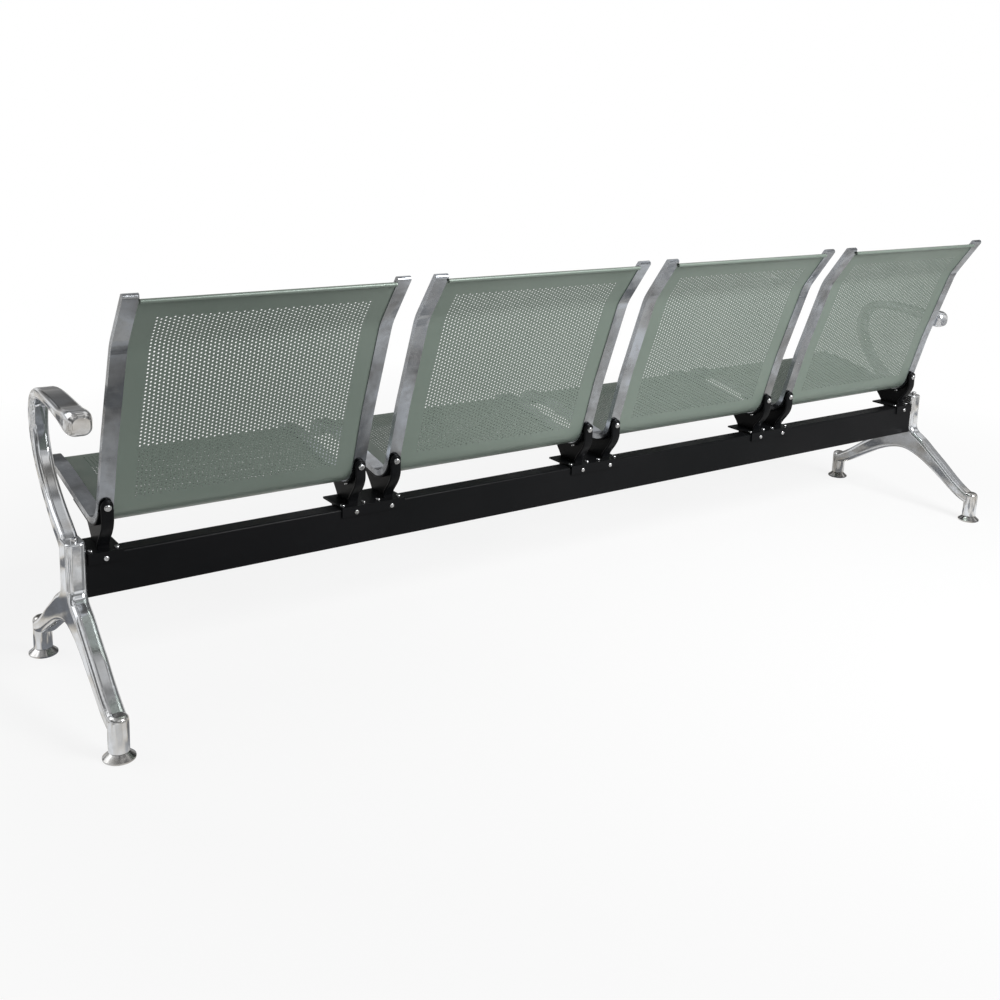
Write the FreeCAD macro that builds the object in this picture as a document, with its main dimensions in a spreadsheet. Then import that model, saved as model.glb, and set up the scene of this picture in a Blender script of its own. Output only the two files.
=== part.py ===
import FreeCAD, Part
import math
import os

import Sketcher

# Four-place beam seating: perforated steel seats on a black rectangular beam, carried by two cast legs.
# Frame: +Z up from the floor, X along the beam, sitters face -Y. Lengths are in millimetres.
# Outlines are drawn in the Y-Z plane with Y measured from the beam's centre; beam_shift then moves
# every sub-part so that the origin lies on the floor under the middle of the whole bench.

Vector = FreeCAD.Vector

DIMENSIONS = [
    ("seat_count", 4, "seats along the beam"),
    ("seat_pitch", 590, "centre to centre of neighbouring seats"),
    ("seat_gap", 54, "between neighbouring seats"),
    ("seat_width", "=seat_pitch - seat_gap", "over the two side strips"),
    ("beam_end_gap", 3, "end saddle plates to the legs"),
    ("beam_length", "=seat_pitch * seat_count - seat_gap - strip_width + 2 * (base_overhang + beam_end_gap)",
     "tube length between the legs"),
    ("beam_height", 80, "tall side of the tube"),
    ("beam_depth", 40, "narrow side of the tube"),
    ("beam_wall", 2, "tube wall"),
    ("beam_corner", 4, "outer corner radius of the tube"),
    ("beam_floor", 205, "floor to the underside of the tube"),
    ("lip_low_y", -328, "front lip, lower end"),
    ("lip_low_z", 344, "front lip, lower end"),
    ("lip_y", -322, "front lip corner"),
    ("lip_z", 383, "front lip corner"),
    ("lip_round", 30, "radius over the front lip"),
    ("pan_y", -235, "middle of the seat pan"),
    ("pan_z", 377, "middle of the seat pan"),
    ("pan_round", 400, "radius in the seat pan"),
    ("bend_y", 12, "corner between seat and back"),
    ("bend_z", 331, "corner between seat and back"),
    ("bend_round", 50, "radius between seat and back"),
    ("lumbar_y", 62, "lumbar corner"),
    ("lumbar_z", 500, "lumbar corner"),
    ("lumbar_round", 500, "lumbar radius"),
    ("neck_y", 131, "corner where the back flares"),
    ("neck_z", 690, "corner where the back flares"),
    ("neck_round", 110, "radius where the back flares"),
    ("crown_y", 197, "upper end of the back"),
    ("crown_z", 781, "upper end of the back"),
    ("strip_width", 28, "side strip across its face"),
    ("strip_thick", 12, "side strip through its face"),
    ("sheet_thick", 1.6, "seat sheet"),
    ("sheet_inset", 6, "how far the sheet enters the strip"),
    ("slot_clearance", 0.3, "round the sheet in the strip's slot"),
    ("curl_radius", 7.2, "rolled edge, to the middle of the sheet"),
    ("curl_turn", 285, "degrees that the rolled edge turns"),
    ("curl_margin", 1.2, "gap between a rolled edge and the strip beside it"),
    ("curl_setback", 5, "rolled edge behind the strip's end"),
    ("field_margin", 36, "perforated field to the side strips"),
    ("pan_field_setback", 34, "perforated field behind the front lip"),
    ("pan_field_ahead", 36, "perforated field ahead of the corner between seat and back"),
    ("back_field_rise", 46, "perforated field above the corner between seat and back"),
    ("back_field_drop", 39, "perforated field below the upper end of the back"),
    ("openings_across", 12, "openings across the perforated field"),
    ("pan_opening_rows", 7, "rows of openings in the seat pan"),
    ("back_opening_rows", 10, "rows of openings in the back"),
    ("opening_share", 0.49, "side of an opening to the pitch of the openings"),
    ("flange_width", 28, "bracket flange under the seat, across the bench"),
    ("lug_width", 20, "bracket lug and heel, across the bench"),
    ("flange_thick", 4, "bracket flange"),
    ("web_thick", 5, "bracket web"),
    ("bracket_gap", 0.2, "strip to bracket flange"),
    ("eye_rise", 8, "eye bolt above the end of the bend"),
    ("eye_radius", 11, "round upper end of the bracket"),
    ("lug_thick", 10, "bracket behind the eye"),
    ("lug_drop", 13, "bracket lug below the eye"),
    ("arm_reach", 90, "bracket arm in front of the bend"),
    ("heel_y", 44.5, "corner of the bracket's rear outline"),
    ("heel_z", 348, "corner of the bracket's rear outline"),
    ("heel_round", 20, "radius of that corner"),
    ("ankle_rise", 4, "short upright stretch above the base"),
    ("sole_rear_y", 8, "where the bracket meets its base, rear"),
    ("sole_front_y", -57, "where the bracket meets its base, front"),
    ("front_hollow", 5, "hollow of the bracket's front edge"),
    ("base_thick", 4, "saddle plate on the beam"),
    ("base_tab", 44, "saddle plate in front of the beam"),
    ("base_lip", 17, "saddle lips down the beam's sides"),
    ("base_overhang", 32, "saddle plate beyond a bracket's middle"),
    ("base_screw_aside", 24, "base screws to each side of a bracket's middle"),
    ("base_screw_y", 9, "base screws behind the beam's centre"),
    ("base_clearance", 0.2, "saddle lips to the beam's sides"),
    ("eye_bolt_radius", 4, "eye bolts, shank"),
    ("eye_head_radius", 7, "eye bolts, domed head"),
    ("eye_head_height", 4.5, "eye bolts, domed head"),
    ("eye_bolt_depth", 9, "eye bolts, depth in the strip"),
    ("arm_screw_radius", 3, "arm screws, shank"),
    ("arm_screw_head", 5.5, "arm screws, domed head"),
    ("arm_screw_head_height", 3.5, "arm screws, domed head"),
    ("arm_screw_depth", 4.4, "arm screws, depth in the strip"),
    ("base_screw_radius", 2.5, "base screws, shank"),
    ("base_head_radius", 5, "base screws, domed head"),
    ("base_head_height", 3, "base screws, domed head"),
    ("screw_clearance", 0.15, "round every shank"),
    ("leg_width", 36, "legs and armrests along the beam"),
    ("hub_depth", 54, "leg hub, front to rear"),
    ("hub_low_z", 150, "underside of the leg hub"),
    ("seam_z", 226, "seam between leg and armrest"),
    ("casting_round", 11, "rounded edges of the leg and the armrest's sleeve"),
    ("sleeve_top_z", 314, "upper end of the armrest's sleeve"),
    ("tenon_width", 22, "leg tenon inside the armrest, along the beam"),
    ("tenon_depth", 38, "leg tenon inside the armrest, front to rear"),
    ("tenon_clearance", 0.3, "leg tenon and beam spigot"),
    ("spigot_length", 60, "leg spigot inside the beam"),
    ("foot_spread", 234, "beam centre to each foot"),
    ("socket_radius", 18, "foot sockets"),
    ("socket_top_z", 80, "upper end of the foot sockets"),
    ("socket_low_z", 15.3, "lower end of the foot sockets"),
    ("stud_radius", 5, "levelling stud"),
    ("stud_top_z", 64, "upper end of the stud at rest"),
    ("stud_clearance", 0.08, "round the stud"),
    ("foot_travel", 20, "how far a foot screws out"),
    ("pad_radius", 28, "foot pad"),
    ("pad_rim", 4, "foot pad at its rim"),
    ("pad_hub_z", 15, "foot pad at its middle"),
    ("pad_hub_radius", 16, "foot pad boss"),
    ("pad_floor", 5, "foot pad under the stud"),
    ("arm_bolt_radius", 4, "armrest bolt, shank"),
    ("arm_bolt_y", 13, "armrest bolt behind the beam's centre"),
    ("arm_head_radius", 6.5, "armrest bolt, head"),
    ("arm_head_height", 8, "armrest bolt, head"),
    ("leg_bolt_radius", 4, "leg bolts, shank"),
    ("leg_bolt_spacing", 28, "between the two leg bolts of an end"),
]

doc = FreeCAD.newDocument("beam_seating")
sheet = doc.addObject("Spreadsheet::Sheet", "dims")
for row, (alias, value, meaning) in enumerate(DIMENSIONS, start=1):
    sheet.set(f"A{row}", meaning)
    sheet.set(f"B{row}", str(value))
    sheet.setAlias(f"B{row}", alias)
doc.recompute()
size = {alias: float(sheet.get(alias)) for alias, _, _ in DIMENSIONS}
nodes = []


# Routes: chains of straight and round stretches in the Y-Z plane

class Route:
    """A smooth line in the Y-Z plane, made of straight and round stretches."""

    def __init__(self, y, z, heading):
        self.pen = (y, z, heading)
        self.parts = []
        self.marks = {}

    def length(self):
        return sum(part["length"] for part in self.parts)

    def line(self, length):
        if length > 1e-6:
            self._add(length, 0.0)

    def arc(self, radius, turn):
        pieces = math.ceil(abs(turn) / 2.0)
        for _ in range(pieces):
            self._add(radius * abs(turn) / pieces, turn / pieces)

    def _add(self, length, turn):
        y, z, heading = self.pen
        part = {"y": y, "z": z, "heading": heading, "length": length, "turn": turn}
        self.parts.append(part)
        point, ahead = place(part, 1.0)
        self.pen = (point[0], point[1], ahead)

    def at(self, distance):
        """Point and heading at a distance along the route."""
        for part in self.parts:
            if distance <= part["length"] + 1e-6:
                return place(part, distance / part["length"])
            distance -= part["length"]
        return place(self.parts[-1], 1.0)

    def between(self, start, end):
        """The stretch of this route from one distance to another."""
        (y, z), heading = self.at(start)
        piece = Route(y, z, heading)
        travelled = 0.0
        for part in self.parts:
            low = max(start, travelled)
            high = min(end, travelled + part["length"])
            if high - low > 1e-6:
                share = (high - low) / part["length"]
                piece._add(high - low, part["turn"] * share)
            travelled += part["length"]
        return piece

    def offset(self, side):
        """Edges of the route moved sideways, positive to the left of travel."""
        edges = []
        for part in self.parts:
            points = [beside(part, share, side) for share in (0.0, 0.5, 1.0)]
            if part["turn"] == 0.0:
                edges.append(Part.LineSegment(points[0], points[2]))
            else:
                edges.append(three_point_arc(*points))
        return edges

    def end_point(self, side):
        return beside(self.parts[-1], 1.0, side)

    def start_point(self, side):
        return beside(self.parts[0], 0.0, side)


def place(part, share):
    """Point and heading at a share of one stretch."""
    y, z, heading, length, turn = (part[key] for key in ("y", "z", "heading", "length", "turn"))
    if turn == 0.0:
        return (y + math.cos(heading) * length * share, z + math.sin(heading) * length * share), heading
    radius = length / turn
    centre_y = y - math.sin(heading) * radius
    centre_z = z + math.cos(heading) * radius
    ahead = heading + turn * share
    return (centre_y + math.sin(ahead) * radius, centre_z - math.cos(ahead) * radius), ahead


def beside(part, share, side):
    (y, z), heading = place(part, share)
    return Vector(y - math.sin(heading) * side, z + math.cos(heading) * side, 0)


def three_point_arc(start, middle, end):
    """An arc that runs anticlockwise, which is the way a sketch holds it."""
    if (middle - start).cross(end - middle).z < 0:
        start, end = end, start
    return Part.Arc(start, middle, end)


def route_through(corners, marks=()):
    """A route through (y, z, radius) corners, marking the named corners' tangent points."""
    (y, z, _), (next_y, next_z, _) = corners[0], corners[1]
    route = Route(y, z, math.atan2(next_z - z, next_y - y))
    names = dict(marks)
    for index in range(1, len(corners) - 1):
        y, z, radius = corners[index]
        next_y, next_z, _ = corners[index + 1]
        at_y, at_z, heading = route.pen
        ahead = math.atan2(next_z - z, next_y - y)
        turn = (ahead - heading + math.pi) % (2 * math.pi) - math.pi
        tangent = radius * math.tan(abs(turn) / 2)
        straight = math.hypot(y - at_y, z - at_z) - tangent
        if straight < 0:
            raise ValueError(f"corner {index}: its round needs {-straight:.1f} mm more of the line before it")
        route.line(straight)
        start = route.length()
        route.arc(radius, turn)
        if index in names:
            route.marks[names[index]] = (start, route.length())
    at_y, at_z, _ = route.pen
    y, z, _ = corners[-1]
    route.line(math.hypot(y - at_y, z - at_z))
    return route


def band(route, low, high, round_ends=False):
    """Closed outline between two offsets of a route."""
    outline = route.offset(high) + route.offset(low)
    outline.append(cap(route.parts[-1], 1.0, low, high, round_ends))
    outline.append(cap(route.parts[0], 0.0, low, high, round_ends))
    return outline


def cap(part, share, low, high, rounded):
    near, far = beside(part, share, low), beside(part, share, high)
    if not rounded:
        return Part.LineSegment(near, far)
    _, heading = place(part, share)
    sign = 1 if share == 1.0 else -1
    reach = abs(high - low) / 2 * sign
    middle = (near + far) * 0.5 + Vector(math.cos(heading) * reach, math.sin(heading) * reach, 0)
    return three_point_arc(near, middle, far)


def polygon(points):
    corners = [Vector(y, z, 0) for y, z in points]
    return [Part.LineSegment(a, b) for a, b in zip(corners, corners[1:] + corners[:1])]


# Bodies, sketches and features

def origin_plane(body, role):
    return next(feature for feature in body.Origin.OriginFeatures if feature.Role == role)


def new_body(label):
    body = doc.addObject("PartDesign::Body", label)
    body.Label = label
    return body


def new_sketch(body, name, role, geometry, shift=0.0):
    drawing = body.newObject("Sketcher::SketchObject", f"{body.Name}_{name}")
    drawing.AttachmentSupport = [(origin_plane(body, role), "")]
    drawing.MapMode = "FlatFace"
    drawing.AttachmentOffset = FreeCAD.Placement(Vector(0, 0, shift), FreeCAD.Rotation())
    drawing.addGeometry(geometry, False)
    return drawing


def pad_both_ways(body, name, geometry, length, role="YZ_Plane"):
    """Material to both sides of an origin plane, with its length bound to the sheet."""
    pad = body.newObject("PartDesign::Pad", f"{body.Name}_{name}")
    pad.Profile = new_sketch(body, name + "_outline", role, geometry)
    pad.SideType = "Symmetric"
    pad.setExpression("Length", length)
    return pad


def pocket(body, name, geometry, depth, role, shift=0.0, flip=False, both=False):
    """Removes material from a plane inwards, and makes sure that some went."""
    doc.recompute()
    before = body.Shape.Volume
    cut = body.newObject("PartDesign::Pocket", f"{body.Name}_{name}")
    cut.Profile = new_sketch(body, name + "_outline", role, geometry, shift)
    if both:
        cut.SideType = "Symmetric"
    cut.Reversed = flip
    cut.setExpression("Length", depth)
    doc.recompute()
    if body.Shape.Volume > before - 0.5:
        raise RuntimeError(f"{body.Label}: {name} removes nothing")
    return cut


def drill(body, name, point, direction, radius, depth):
    """A round hole from a point into the body."""
    doc.recompute()
    before = body.Shape.Volume
    hole = body.newObject("PartDesign::SubtractiveCylinder", f"{body.Name}_{name}")
    hole.setExpression("Radius", radius)
    hole.Height = depth
    hole.Placement = FreeCAD.Placement(point, FreeCAD.Rotation(Vector(0, 0, 1), direction))
    doc.recompute()
    if body.Shape.Volume > before - 0.5:
        raise RuntimeError(f"{body.Label}: {name} removes nothing")
    return hole


def finish_node(thing, label, x):
    """Names a sub-part and sets it in its place in the bench."""
    thing.Label = label
    thing.Placement = FreeCAD.Placement(Vector(x, beam_shift, 0), FreeCAD.Rotation())
    nodes.append(thing)


def finish_solids(label, solids, x=0.0):
    """A node from finished solids, for castings and for groups of equal fasteners."""
    feature = doc.addObject("Part::Feature", label)
    feature.Shape = Part.makeCompound(solids)
    finish_node(feature, label, x)
    return feature


# The seat's side line, from the front lip to the upper end of the back

seat_line = route_through(
    [
        (size["lip_low_y"], size["lip_low_z"], 0),
        (size["lip_y"], size["lip_z"], size["lip_round"]),
        (size["pan_y"], size["pan_z"], size["pan_round"]),
        (size["bend_y"], size["bend_z"], size["bend_round"]),
        (size["lumbar_y"], size["lumbar_z"], size["lumbar_round"]),
        (size["neck_y"], size["neck_z"], size["neck_round"]),
        (size["crown_y"], size["crown_z"], 0),
    ],
    marks=((3, "bend"),),
)
strip_half = size["strip_thick"] / 2
bend_start, bend_end = seat_line.marks["bend"]
eye_distance = bend_end + size["eye_rise"]
arm_distance = bend_start + 0.35 * (bend_end - bend_start)

strip_points = [edge.toShape().BoundBox for edge in band(seat_line, -strip_half, strip_half, True)]
front_reach = min(box.XMin for box in strip_points)
rear_reach = max([box.XMax for box in strip_points] + [size["foot_spread"] + size["pad_radius"]])
beam_shift = -(front_reach + rear_reach) / 2

beam_top = size["beam_floor"] + size["beam_height"]
base_top = beam_top + size["base_thick"]
half_beam_depth = size["beam_depth"] / 2
seat_middles = [
    size["seat_pitch"] * ((size["seat_count"] - 1) / 2 - index) for index in range(int(size["seat_count"]))
]
strip_offset = (size["seat_width"] - size["strip_width"]) / 2
leg_middle = size["beam_length"] / 2 + size["leg_width"] / 2
ENDS = (("left", 1), ("right", -1))
FEET = (("front", -1), ("rear", 1))


def bracket_groups():
    """Middles of the brackets that share one base, from the left end to the right end."""
    groups = [[seat_middles[0] + strip_offset]]
    for left, right in zip(seat_middles, seat_middles[1:]):
        groups.append([left - strip_offset, right + strip_offset])
    groups.append([seat_middles[-1] - strip_offset])
    return groups


def frame_at(distance, side):
    """Point beside the seat line and the outward direction there, as three-dimensional vectors."""
    (y, z), heading = seat_line.at(distance)
    outward = Vector(0, math.sin(heading), -math.cos(heading))
    return Vector(0, y, z) + outward * side, outward


# Beam

def rounded_rectangle(half_y, half_z, middle_z, radius):
    """Outline of a rectangle with round corners, centred on the beam."""
    edges = []
    signs = ((1, 1), (-1, 1), (-1, -1), (1, -1))
    starts = []
    for turn, (sign_y, sign_z) in enumerate(signs):
        centre = Vector(sign_y * (half_y - radius), middle_z + sign_z * (half_z - radius), 0)
        first = math.radians(90 * turn)
        points = [
            centre + Vector(math.cos(first + step), math.sin(first + step), 0) * radius
            for step in (0, math.pi / 4, math.pi / 2)
        ]
        edges.append(Part.Arc(*points))
        starts.append((points[0], points[2]))
    for (_, end), (start, _) in zip(starts, starts[1:] + starts[:1]):
        edges.append(Part.LineSegment(end, start))
    return edges


def base_screw_places():
    """Base screws: (x, y, z, axis) of each head's seat, one list for each base."""
    places = []
    lip_face = half_beam_depth + size["base_clearance"] + size["base_thick"]
    lip_screw_z = beam_top - size["base_lip"] / 2
    for group in bracket_groups():
        screws = []
        for middle in group:
            for side in (1, -1):
                x = middle + side * size["base_screw_aside"]
                screws.append((x, size["base_screw_y"], base_top, Vector(0, 0, 1)))
            screws.append((middle, lip_face, lip_screw_z, Vector(0, 1, 0)))
        places.append(screws)
    return places


def make_beam():
    body = new_body("beam")
    middle_z = size["beam_floor"] + size["beam_height"] / 2
    wall = size["beam_wall"]
    outer = rounded_rectangle(half_beam_depth, size["beam_height"] / 2, middle_z, size["beam_corner"])
    inner = rounded_rectangle(
        half_beam_depth - wall,
        size["beam_height"] / 2 - wall,
        middle_z,
        max(size["beam_corner"] - wall, 0.5),
    )
    pad_both_ways(body, "tube", outer + inner, "dims.beam_length")
    through = size["beam_wall"] + 2
    for number, group in enumerate(base_screw_places(), start=1):
        for index, (x, y, z, axis) in enumerate(group, start=1):
            start = Vector(x, y, z) - axis * size["base_thick"]
            if axis.y:
                start.y = half_beam_depth + 1
            drill(body, f"base_hole_{number}_{index}", start, axis * -1,
                  "dims.base_screw_radius + dims.screw_clearance", through)
    for name, sign in ENDS:
        for index, x in enumerate(leg_bolt_places(sign), start=1):
            start = Vector(x, 0, size["beam_floor"] - 1)
            drill(body, f"leg_hole_{name}_{index}", start, Vector(0, 0, 1),
                  "dims.leg_bolt_radius + dims.screw_clearance", through)
    finish_node(body, "beam", 0)


def leg_bolt_places(sign):
    end = size["beam_length"] / 2
    first = end - size["spigot_length"] / 2
    return [sign * (first + step * size["leg_bolt_spacing"] / 2) for step in (1, -1)]


# Seats

def make_sheet(number, middle):
    """One-piece seat and back sheet, with a rolled edge at the front and at the top."""
    body = new_body(f"seat_sheet_{number}")
    half = size["sheet_thick"] / 2
    setback = size["curl_setback"]
    whole = seat_line.between(setback, seat_line.length() - setback)
    pad_both_ways(body, "panel", band(whole, -half, half),
                  "dims.seat_width - 2 * dims.strip_width + 2 * dims.sheet_inset")
    rolled_width = "dims.seat_width - 2 * dims.strip_width - 2 * dims.curl_margin"
    turn = math.radians(size["curl_turn"])
    top = whole.between(whole.length() - 2, whole.length())
    top.arc(size["curl_radius"], -turn)
    pad_both_ways(body, "top_roll", band(top, -half, half), rolled_width)
    (y, z), heading = whole.at(0)
    front = Route(y, z, heading + math.pi)
    front.arc(size["curl_radius"], turn)
    pad_both_ways(body, "front_roll", band(front, -half, half), rolled_width)
    back_low = size["bend_z"] + size["back_field_rise"]
    back_high = size["crown_z"] - size["back_field_drop"]
    pocket(body, "back_openings", opening_grid(back_low, back_high, size["back_opening_rows"]),
           "2 * dims.crown_y + 20", "XZ_Plane", both=True)
    pan_front = size["lip_y"] + size["pan_field_setback"]
    pan_rear = size["bend_y"] - size["pan_field_ahead"]
    pocket(body, "pan_openings", opening_grid(pan_front, pan_rear, size["pan_opening_rows"]),
           "2 * dims.lip_z + 20", "XY_Plane", both=True)
    finish_node(body, f"seat_sheet_{number}", middle)


def opening_grid(low, high, rows):
    """Outlines of a plain grid of openings, which has the open share of the sheet's fine holes."""
    columns, rows = int(size["openings_across"]), int(rows)
    field = size["seat_width"] - 2 * (size["strip_width"] + size["field_margin"])
    across, along = field / columns, (high - low) / rows
    half_x, half = across * size["opening_share"] / 2, along * size["opening_share"] / 2
    outlines = []
    for column in range(columns):
        x = (column + 0.5) * across - field / 2
        for row in range(rows):
            middle = low + (row + 0.5) * along
            outlines += polygon([
                (x - half_x, middle - half), (x + half_x, middle - half),
                (x + half_x, middle + half), (x - half_x, middle + half),
            ])
    return outlines


def make_strip(number, middle, name, side):
    """Chromed side strip with a slot for the sheet's edge and two blind bolt holes."""
    body = new_body(f"side_strip_{number}_{name}")
    pad_both_ways(body, "strip", band(seat_line, -strip_half, strip_half, True), "dims.strip_width")
    slot_half = size["sheet_thick"] / 2 + size["slot_clearance"]
    slot = seat_line.between(size["curl_setback"] - 1, seat_line.length() - size["curl_setback"] + 1)
    inner_face = -side * size["strip_width"] / 2
    pocket(body, "slot", band(slot, -slot_half, slot_half), "dims.sheet_inset + dims.slot_clearance",
           "YZ_Plane", shift=inner_face, flip=side > 0)
    for bolt in seat_bolt_places(side):
        point, outward = frame_at(bolt["distance"], strip_half + 1)
        point.x = bolt["across"]
        drill(body, bolt["name"], point, outward * -1, bolt["hole"], bolt["depth"] + 1)
    finish_node(body, f"side_strip_{number}_{name}", middle + side * strip_offset)


def seat_bolt_places(side):
    """The two bolts of one bracket: where they sit on the seat line, and how deep they go."""
    beside_web = -side * (size["web_thick"] / 2 + size["arm_screw_head"] + 0.5)
    return (
        {
            "name": "eye", "distance": eye_distance, "across": 0.0,
            "through": size["lug_thick"], "depth": size["eye_bolt_depth"],
            "hole": "dims.eye_bolt_radius + dims.screw_clearance",
        },
        {
            "name": "arm", "distance": arm_distance, "across": beside_web,
            "through": size["flange_thick"], "depth": size["arm_screw_depth"],
            "hole": "dims.arm_screw_radius + dims.screw_clearance",
        },
    )


# Brackets

def make_bracket(number, name, x, side):
    """Curved bracket: flange along the strip, lug for the eye bolt, web, and a flange down its rear edge."""
    body = new_body(f"bracket_{number}_{name}")
    flange_face = -(strip_half + size["bracket_gap"])
    flange_back = flange_face - size["flange_thick"]
    lug_back = flange_face - size["lug_thick"]
    lug_low = eye_distance - size["lug_drop"]
    eye_top = eye_distance + size["eye_radius"]
    arm = seat_line.between(bend_start - size["arm_reach"], lug_low + 2)
    pad_both_ways(body, "flange", band(arm, flange_back, flange_face), "dims.flange_width")
    pad_both_ways(body, "lug", band(seat_line.between(lug_low, eye_top), lug_back, flange_face),
                  "dims.lug_width")

    web_line = seat_line.between(bend_start - size["arm_reach"], lug_low + 1)
    inside = flange_back + 1
    lug_corner = web_line.end_point(lug_back)
    heel = route_through(
        [
            (lug_corner.x, lug_corner.y, 0),
            (size["heel_y"], size["heel_z"], size["heel_round"]),
            (size["sole_rear_y"], base_top + size["ankle_rise"], size["ankle_rise"]),
            (size["sole_rear_y"], base_top, 0),
        ]
    )
    toe = Vector(size["sole_front_y"], base_top, 0)
    tip = web_line.start_point(inside)
    rise = tip - toe
    hollow = Vector(rise.y, -rise.x, 0).normalize() * size["front_hollow"]
    deepest = (toe + tip) * 0.5 + hollow
    outline = web_line.offset(inside) + heel.offset(0)
    outline += [
        Part.LineSegment(web_line.end_point(inside), lug_corner),
        Part.LineSegment(heel.end_point(0), toe),
        three_point_arc(toe, deepest, tip),
    ]
    pad_both_ways(body, "web", outline, "dims.web_thick")
    pad_both_ways(body, "heel", band(heel, -size["flange_thick"], 0), "dims.lug_width")

    (y, z), _ = seat_line.at(eye_distance)
    round_eye(body, z)
    for bolt in seat_bolt_places(side):
        point, outward = frame_at(bolt["distance"], strip_half + size["bracket_gap"] + bolt["through"] + 0.5)
        point.x = bolt["across"]
        drill(body, bolt["name"], point, outward * -1, bolt["hole"], bolt["through"] + 1)
    finish_node(body, f"bracket_{number}_{name}", x)


def round_eye(body, middle_z):
    """Takes the square corners off the bracket's upper end."""
    radius = size["lug_width"] / 2
    above = middle_z + 3 * radius
    start, end = Vector(radius, middle_z, 0), Vector(-radius, middle_z, 0)
    crest = Vector(0, middle_z + size["eye_radius"] * 0.96, 0)
    wide = radius + 2
    outline = [
        three_point_arc(start, crest, end),
        Part.LineSegment(end, Vector(-wide, middle_z, 0)),
        Part.LineSegment(Vector(-wide, middle_z, 0), Vector(-wide, above, 0)),
        Part.LineSegment(Vector(-wide, above, 0), Vector(wide, above, 0)),
        Part.LineSegment(Vector(wide, above, 0), Vector(wide, middle_z, 0)),
        Part.LineSegment(Vector(wide, middle_z, 0), start),
    ]
    pocket(body, "eye_round", outline, "dims.beam_height * 4", "XZ_Plane", both=True)


def make_base(number, group, screws):
    """Saddle plate over the beam, with a tab in front and a lip down each side."""
    body = new_body(f"bracket_base_{number}")
    middle = sum(group) / len(group)
    inner = half_beam_depth + size["base_clearance"]
    outer = inner + size["base_thick"]
    low = beam_top - size["base_lip"]
    tab = -(half_beam_depth + size["base_tab"])
    profile = [
        (tab, beam_top), (-outer, beam_top), (-outer, low), (-inner, low), (-inner, beam_top),
        (inner, beam_top), (inner, low), (outer, low), (outer, base_top), (tab, base_top),
    ]
    spread = max(group) - min(group)
    width = pad_both_ways(body, "saddle", polygon(profile), "dims.base_overhang * 2")
    if spread > 0:
        width.setExpression(
            "Length", "dims.seat_pitch - dims.seat_width + dims.strip_width + 2 * dims.base_overhang"
        )
    for index, (x, y, z, axis) in enumerate(screws, start=1):
        drill(body, f"screw_hole_{index}", Vector(x - middle, y, z) + axis, axis * -1,
              "dims.base_screw_radius + dims.screw_clearance", size["base_thick"] + 1.5)
    finish_node(body, f"bracket_base_{number}", middle)


# Fasteners

def domed_bolt(radius, depth, head_radius, head_height):
    """Bolt along +Z: the head's seat is at zero, the shank goes down."""
    head = Part.makeCylinder(head_radius, head_height)
    head = head.makeFillet(head_height * 0.8, [top_edge(head)])
    shank = Part.makeCylinder(radius, depth + head_height / 2, Vector(0, 0, -depth))
    return head.fuse(shank).removeSplitter().Solids[0]


def top_edge(shape):
    """The highest round edge of an upright cylinder."""
    rounds = [edge for edge in shape.Edges if edge.BoundBox.ZLength < 0.01]
    return max(rounds, key=lambda edge: edge.BoundBox.ZMax)


def set_along(shape, point, direction):
    placed = shape.copy()
    placed.Placement = FreeCAD.Placement(point, FreeCAD.Rotation(Vector(0, 0, 1), direction))
    return placed


def make_seat_bolts(number, middle):
    """The eye bolts and arm screws that hold one seat to its two brackets."""
    heads = {
        "eye": (size["eye_bolt_radius"], size["eye_head_radius"], size["eye_head_height"]),
        "arm": (size["arm_screw_radius"], size["arm_screw_head"], size["arm_screw_head_height"]),
    }
    spare = 0.4
    solids = []
    for side in (1, -1):
        for bolt in seat_bolt_places(side):
            radius, head_radius, head_height = heads[bolt["name"]]
            through = size["bracket_gap"] + bolt["through"]
            shape = domed_bolt(radius, through + bolt["depth"] - spare, head_radius, head_height)
            point, outward = frame_at(bolt["distance"], strip_half + through)
            point.x = side * strip_offset + bolt["across"]
            solids.append(set_along(shape, point, outward))
    finish_solids(f"seat_bolts_{number}", solids, middle)


def make_base_screws(number, group, screws):
    middle = sum(group) / len(group)
    reach = size["base_thick"] + size["beam_wall"]
    screw = domed_bolt(size["base_screw_radius"], reach, size["base_head_radius"], size["base_head_height"])
    solids = [set_along(screw, Vector(x - middle, y, z), axis) for x, y, z, axis in screws]
    finish_solids(f"base_screws_{number}", solids, middle)


# Legs and armrests are castings: lofts through rounded sections, joined to plain bosses

def section(y, z, heading, width, thick, corner):
    """Rounded rectangle across a limb: its width lies along the beam."""
    across = Vector(1, 0, 0)
    up = Vector(0, -math.sin(heading), math.cos(heading))
    middle = Vector(0, y, z)
    half_width, half_thick = width / 2 - corner, thick / 2 - corner
    arcs = []
    for turn, (sign_x, sign_up) in enumerate(((1, 1), (-1, 1), (-1, -1), (1, -1))):
        centre = middle + across * (sign_x * half_width) + up * (sign_up * half_thick)
        points = []
        for step in (0, math.pi / 4, math.pi / 2):
            angle = math.radians(90 * turn) + step
            points.append(centre + (across * math.cos(angle) + up * math.sin(angle)) * corner)
        arcs.append(points)
    edges = []
    for points, following in zip(arcs, arcs[1:] + arcs[:1]):
        edges.append(Part.Arc(*points).toShape())
        edges.append(Part.LineSegment(points[2], following[0]).toShape())
    return Part.Wire(edges)


def limb(stations):
    """Loft through (y, z, width, thickness, corner) stations, square to the line that they follow."""
    wires = []
    for index, (y, z, width, thick, corner) in enumerate(stations):
        before = stations[max(index - 1, 0)]
        after = stations[min(index + 1, len(stations) - 1)]
        heading = math.atan2(after[1] - before[1], after[0] - before[0])
        wires.append(section(y, z, heading, width, thick, corner))
    return Part.makeLoft(wires, True, False)


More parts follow.
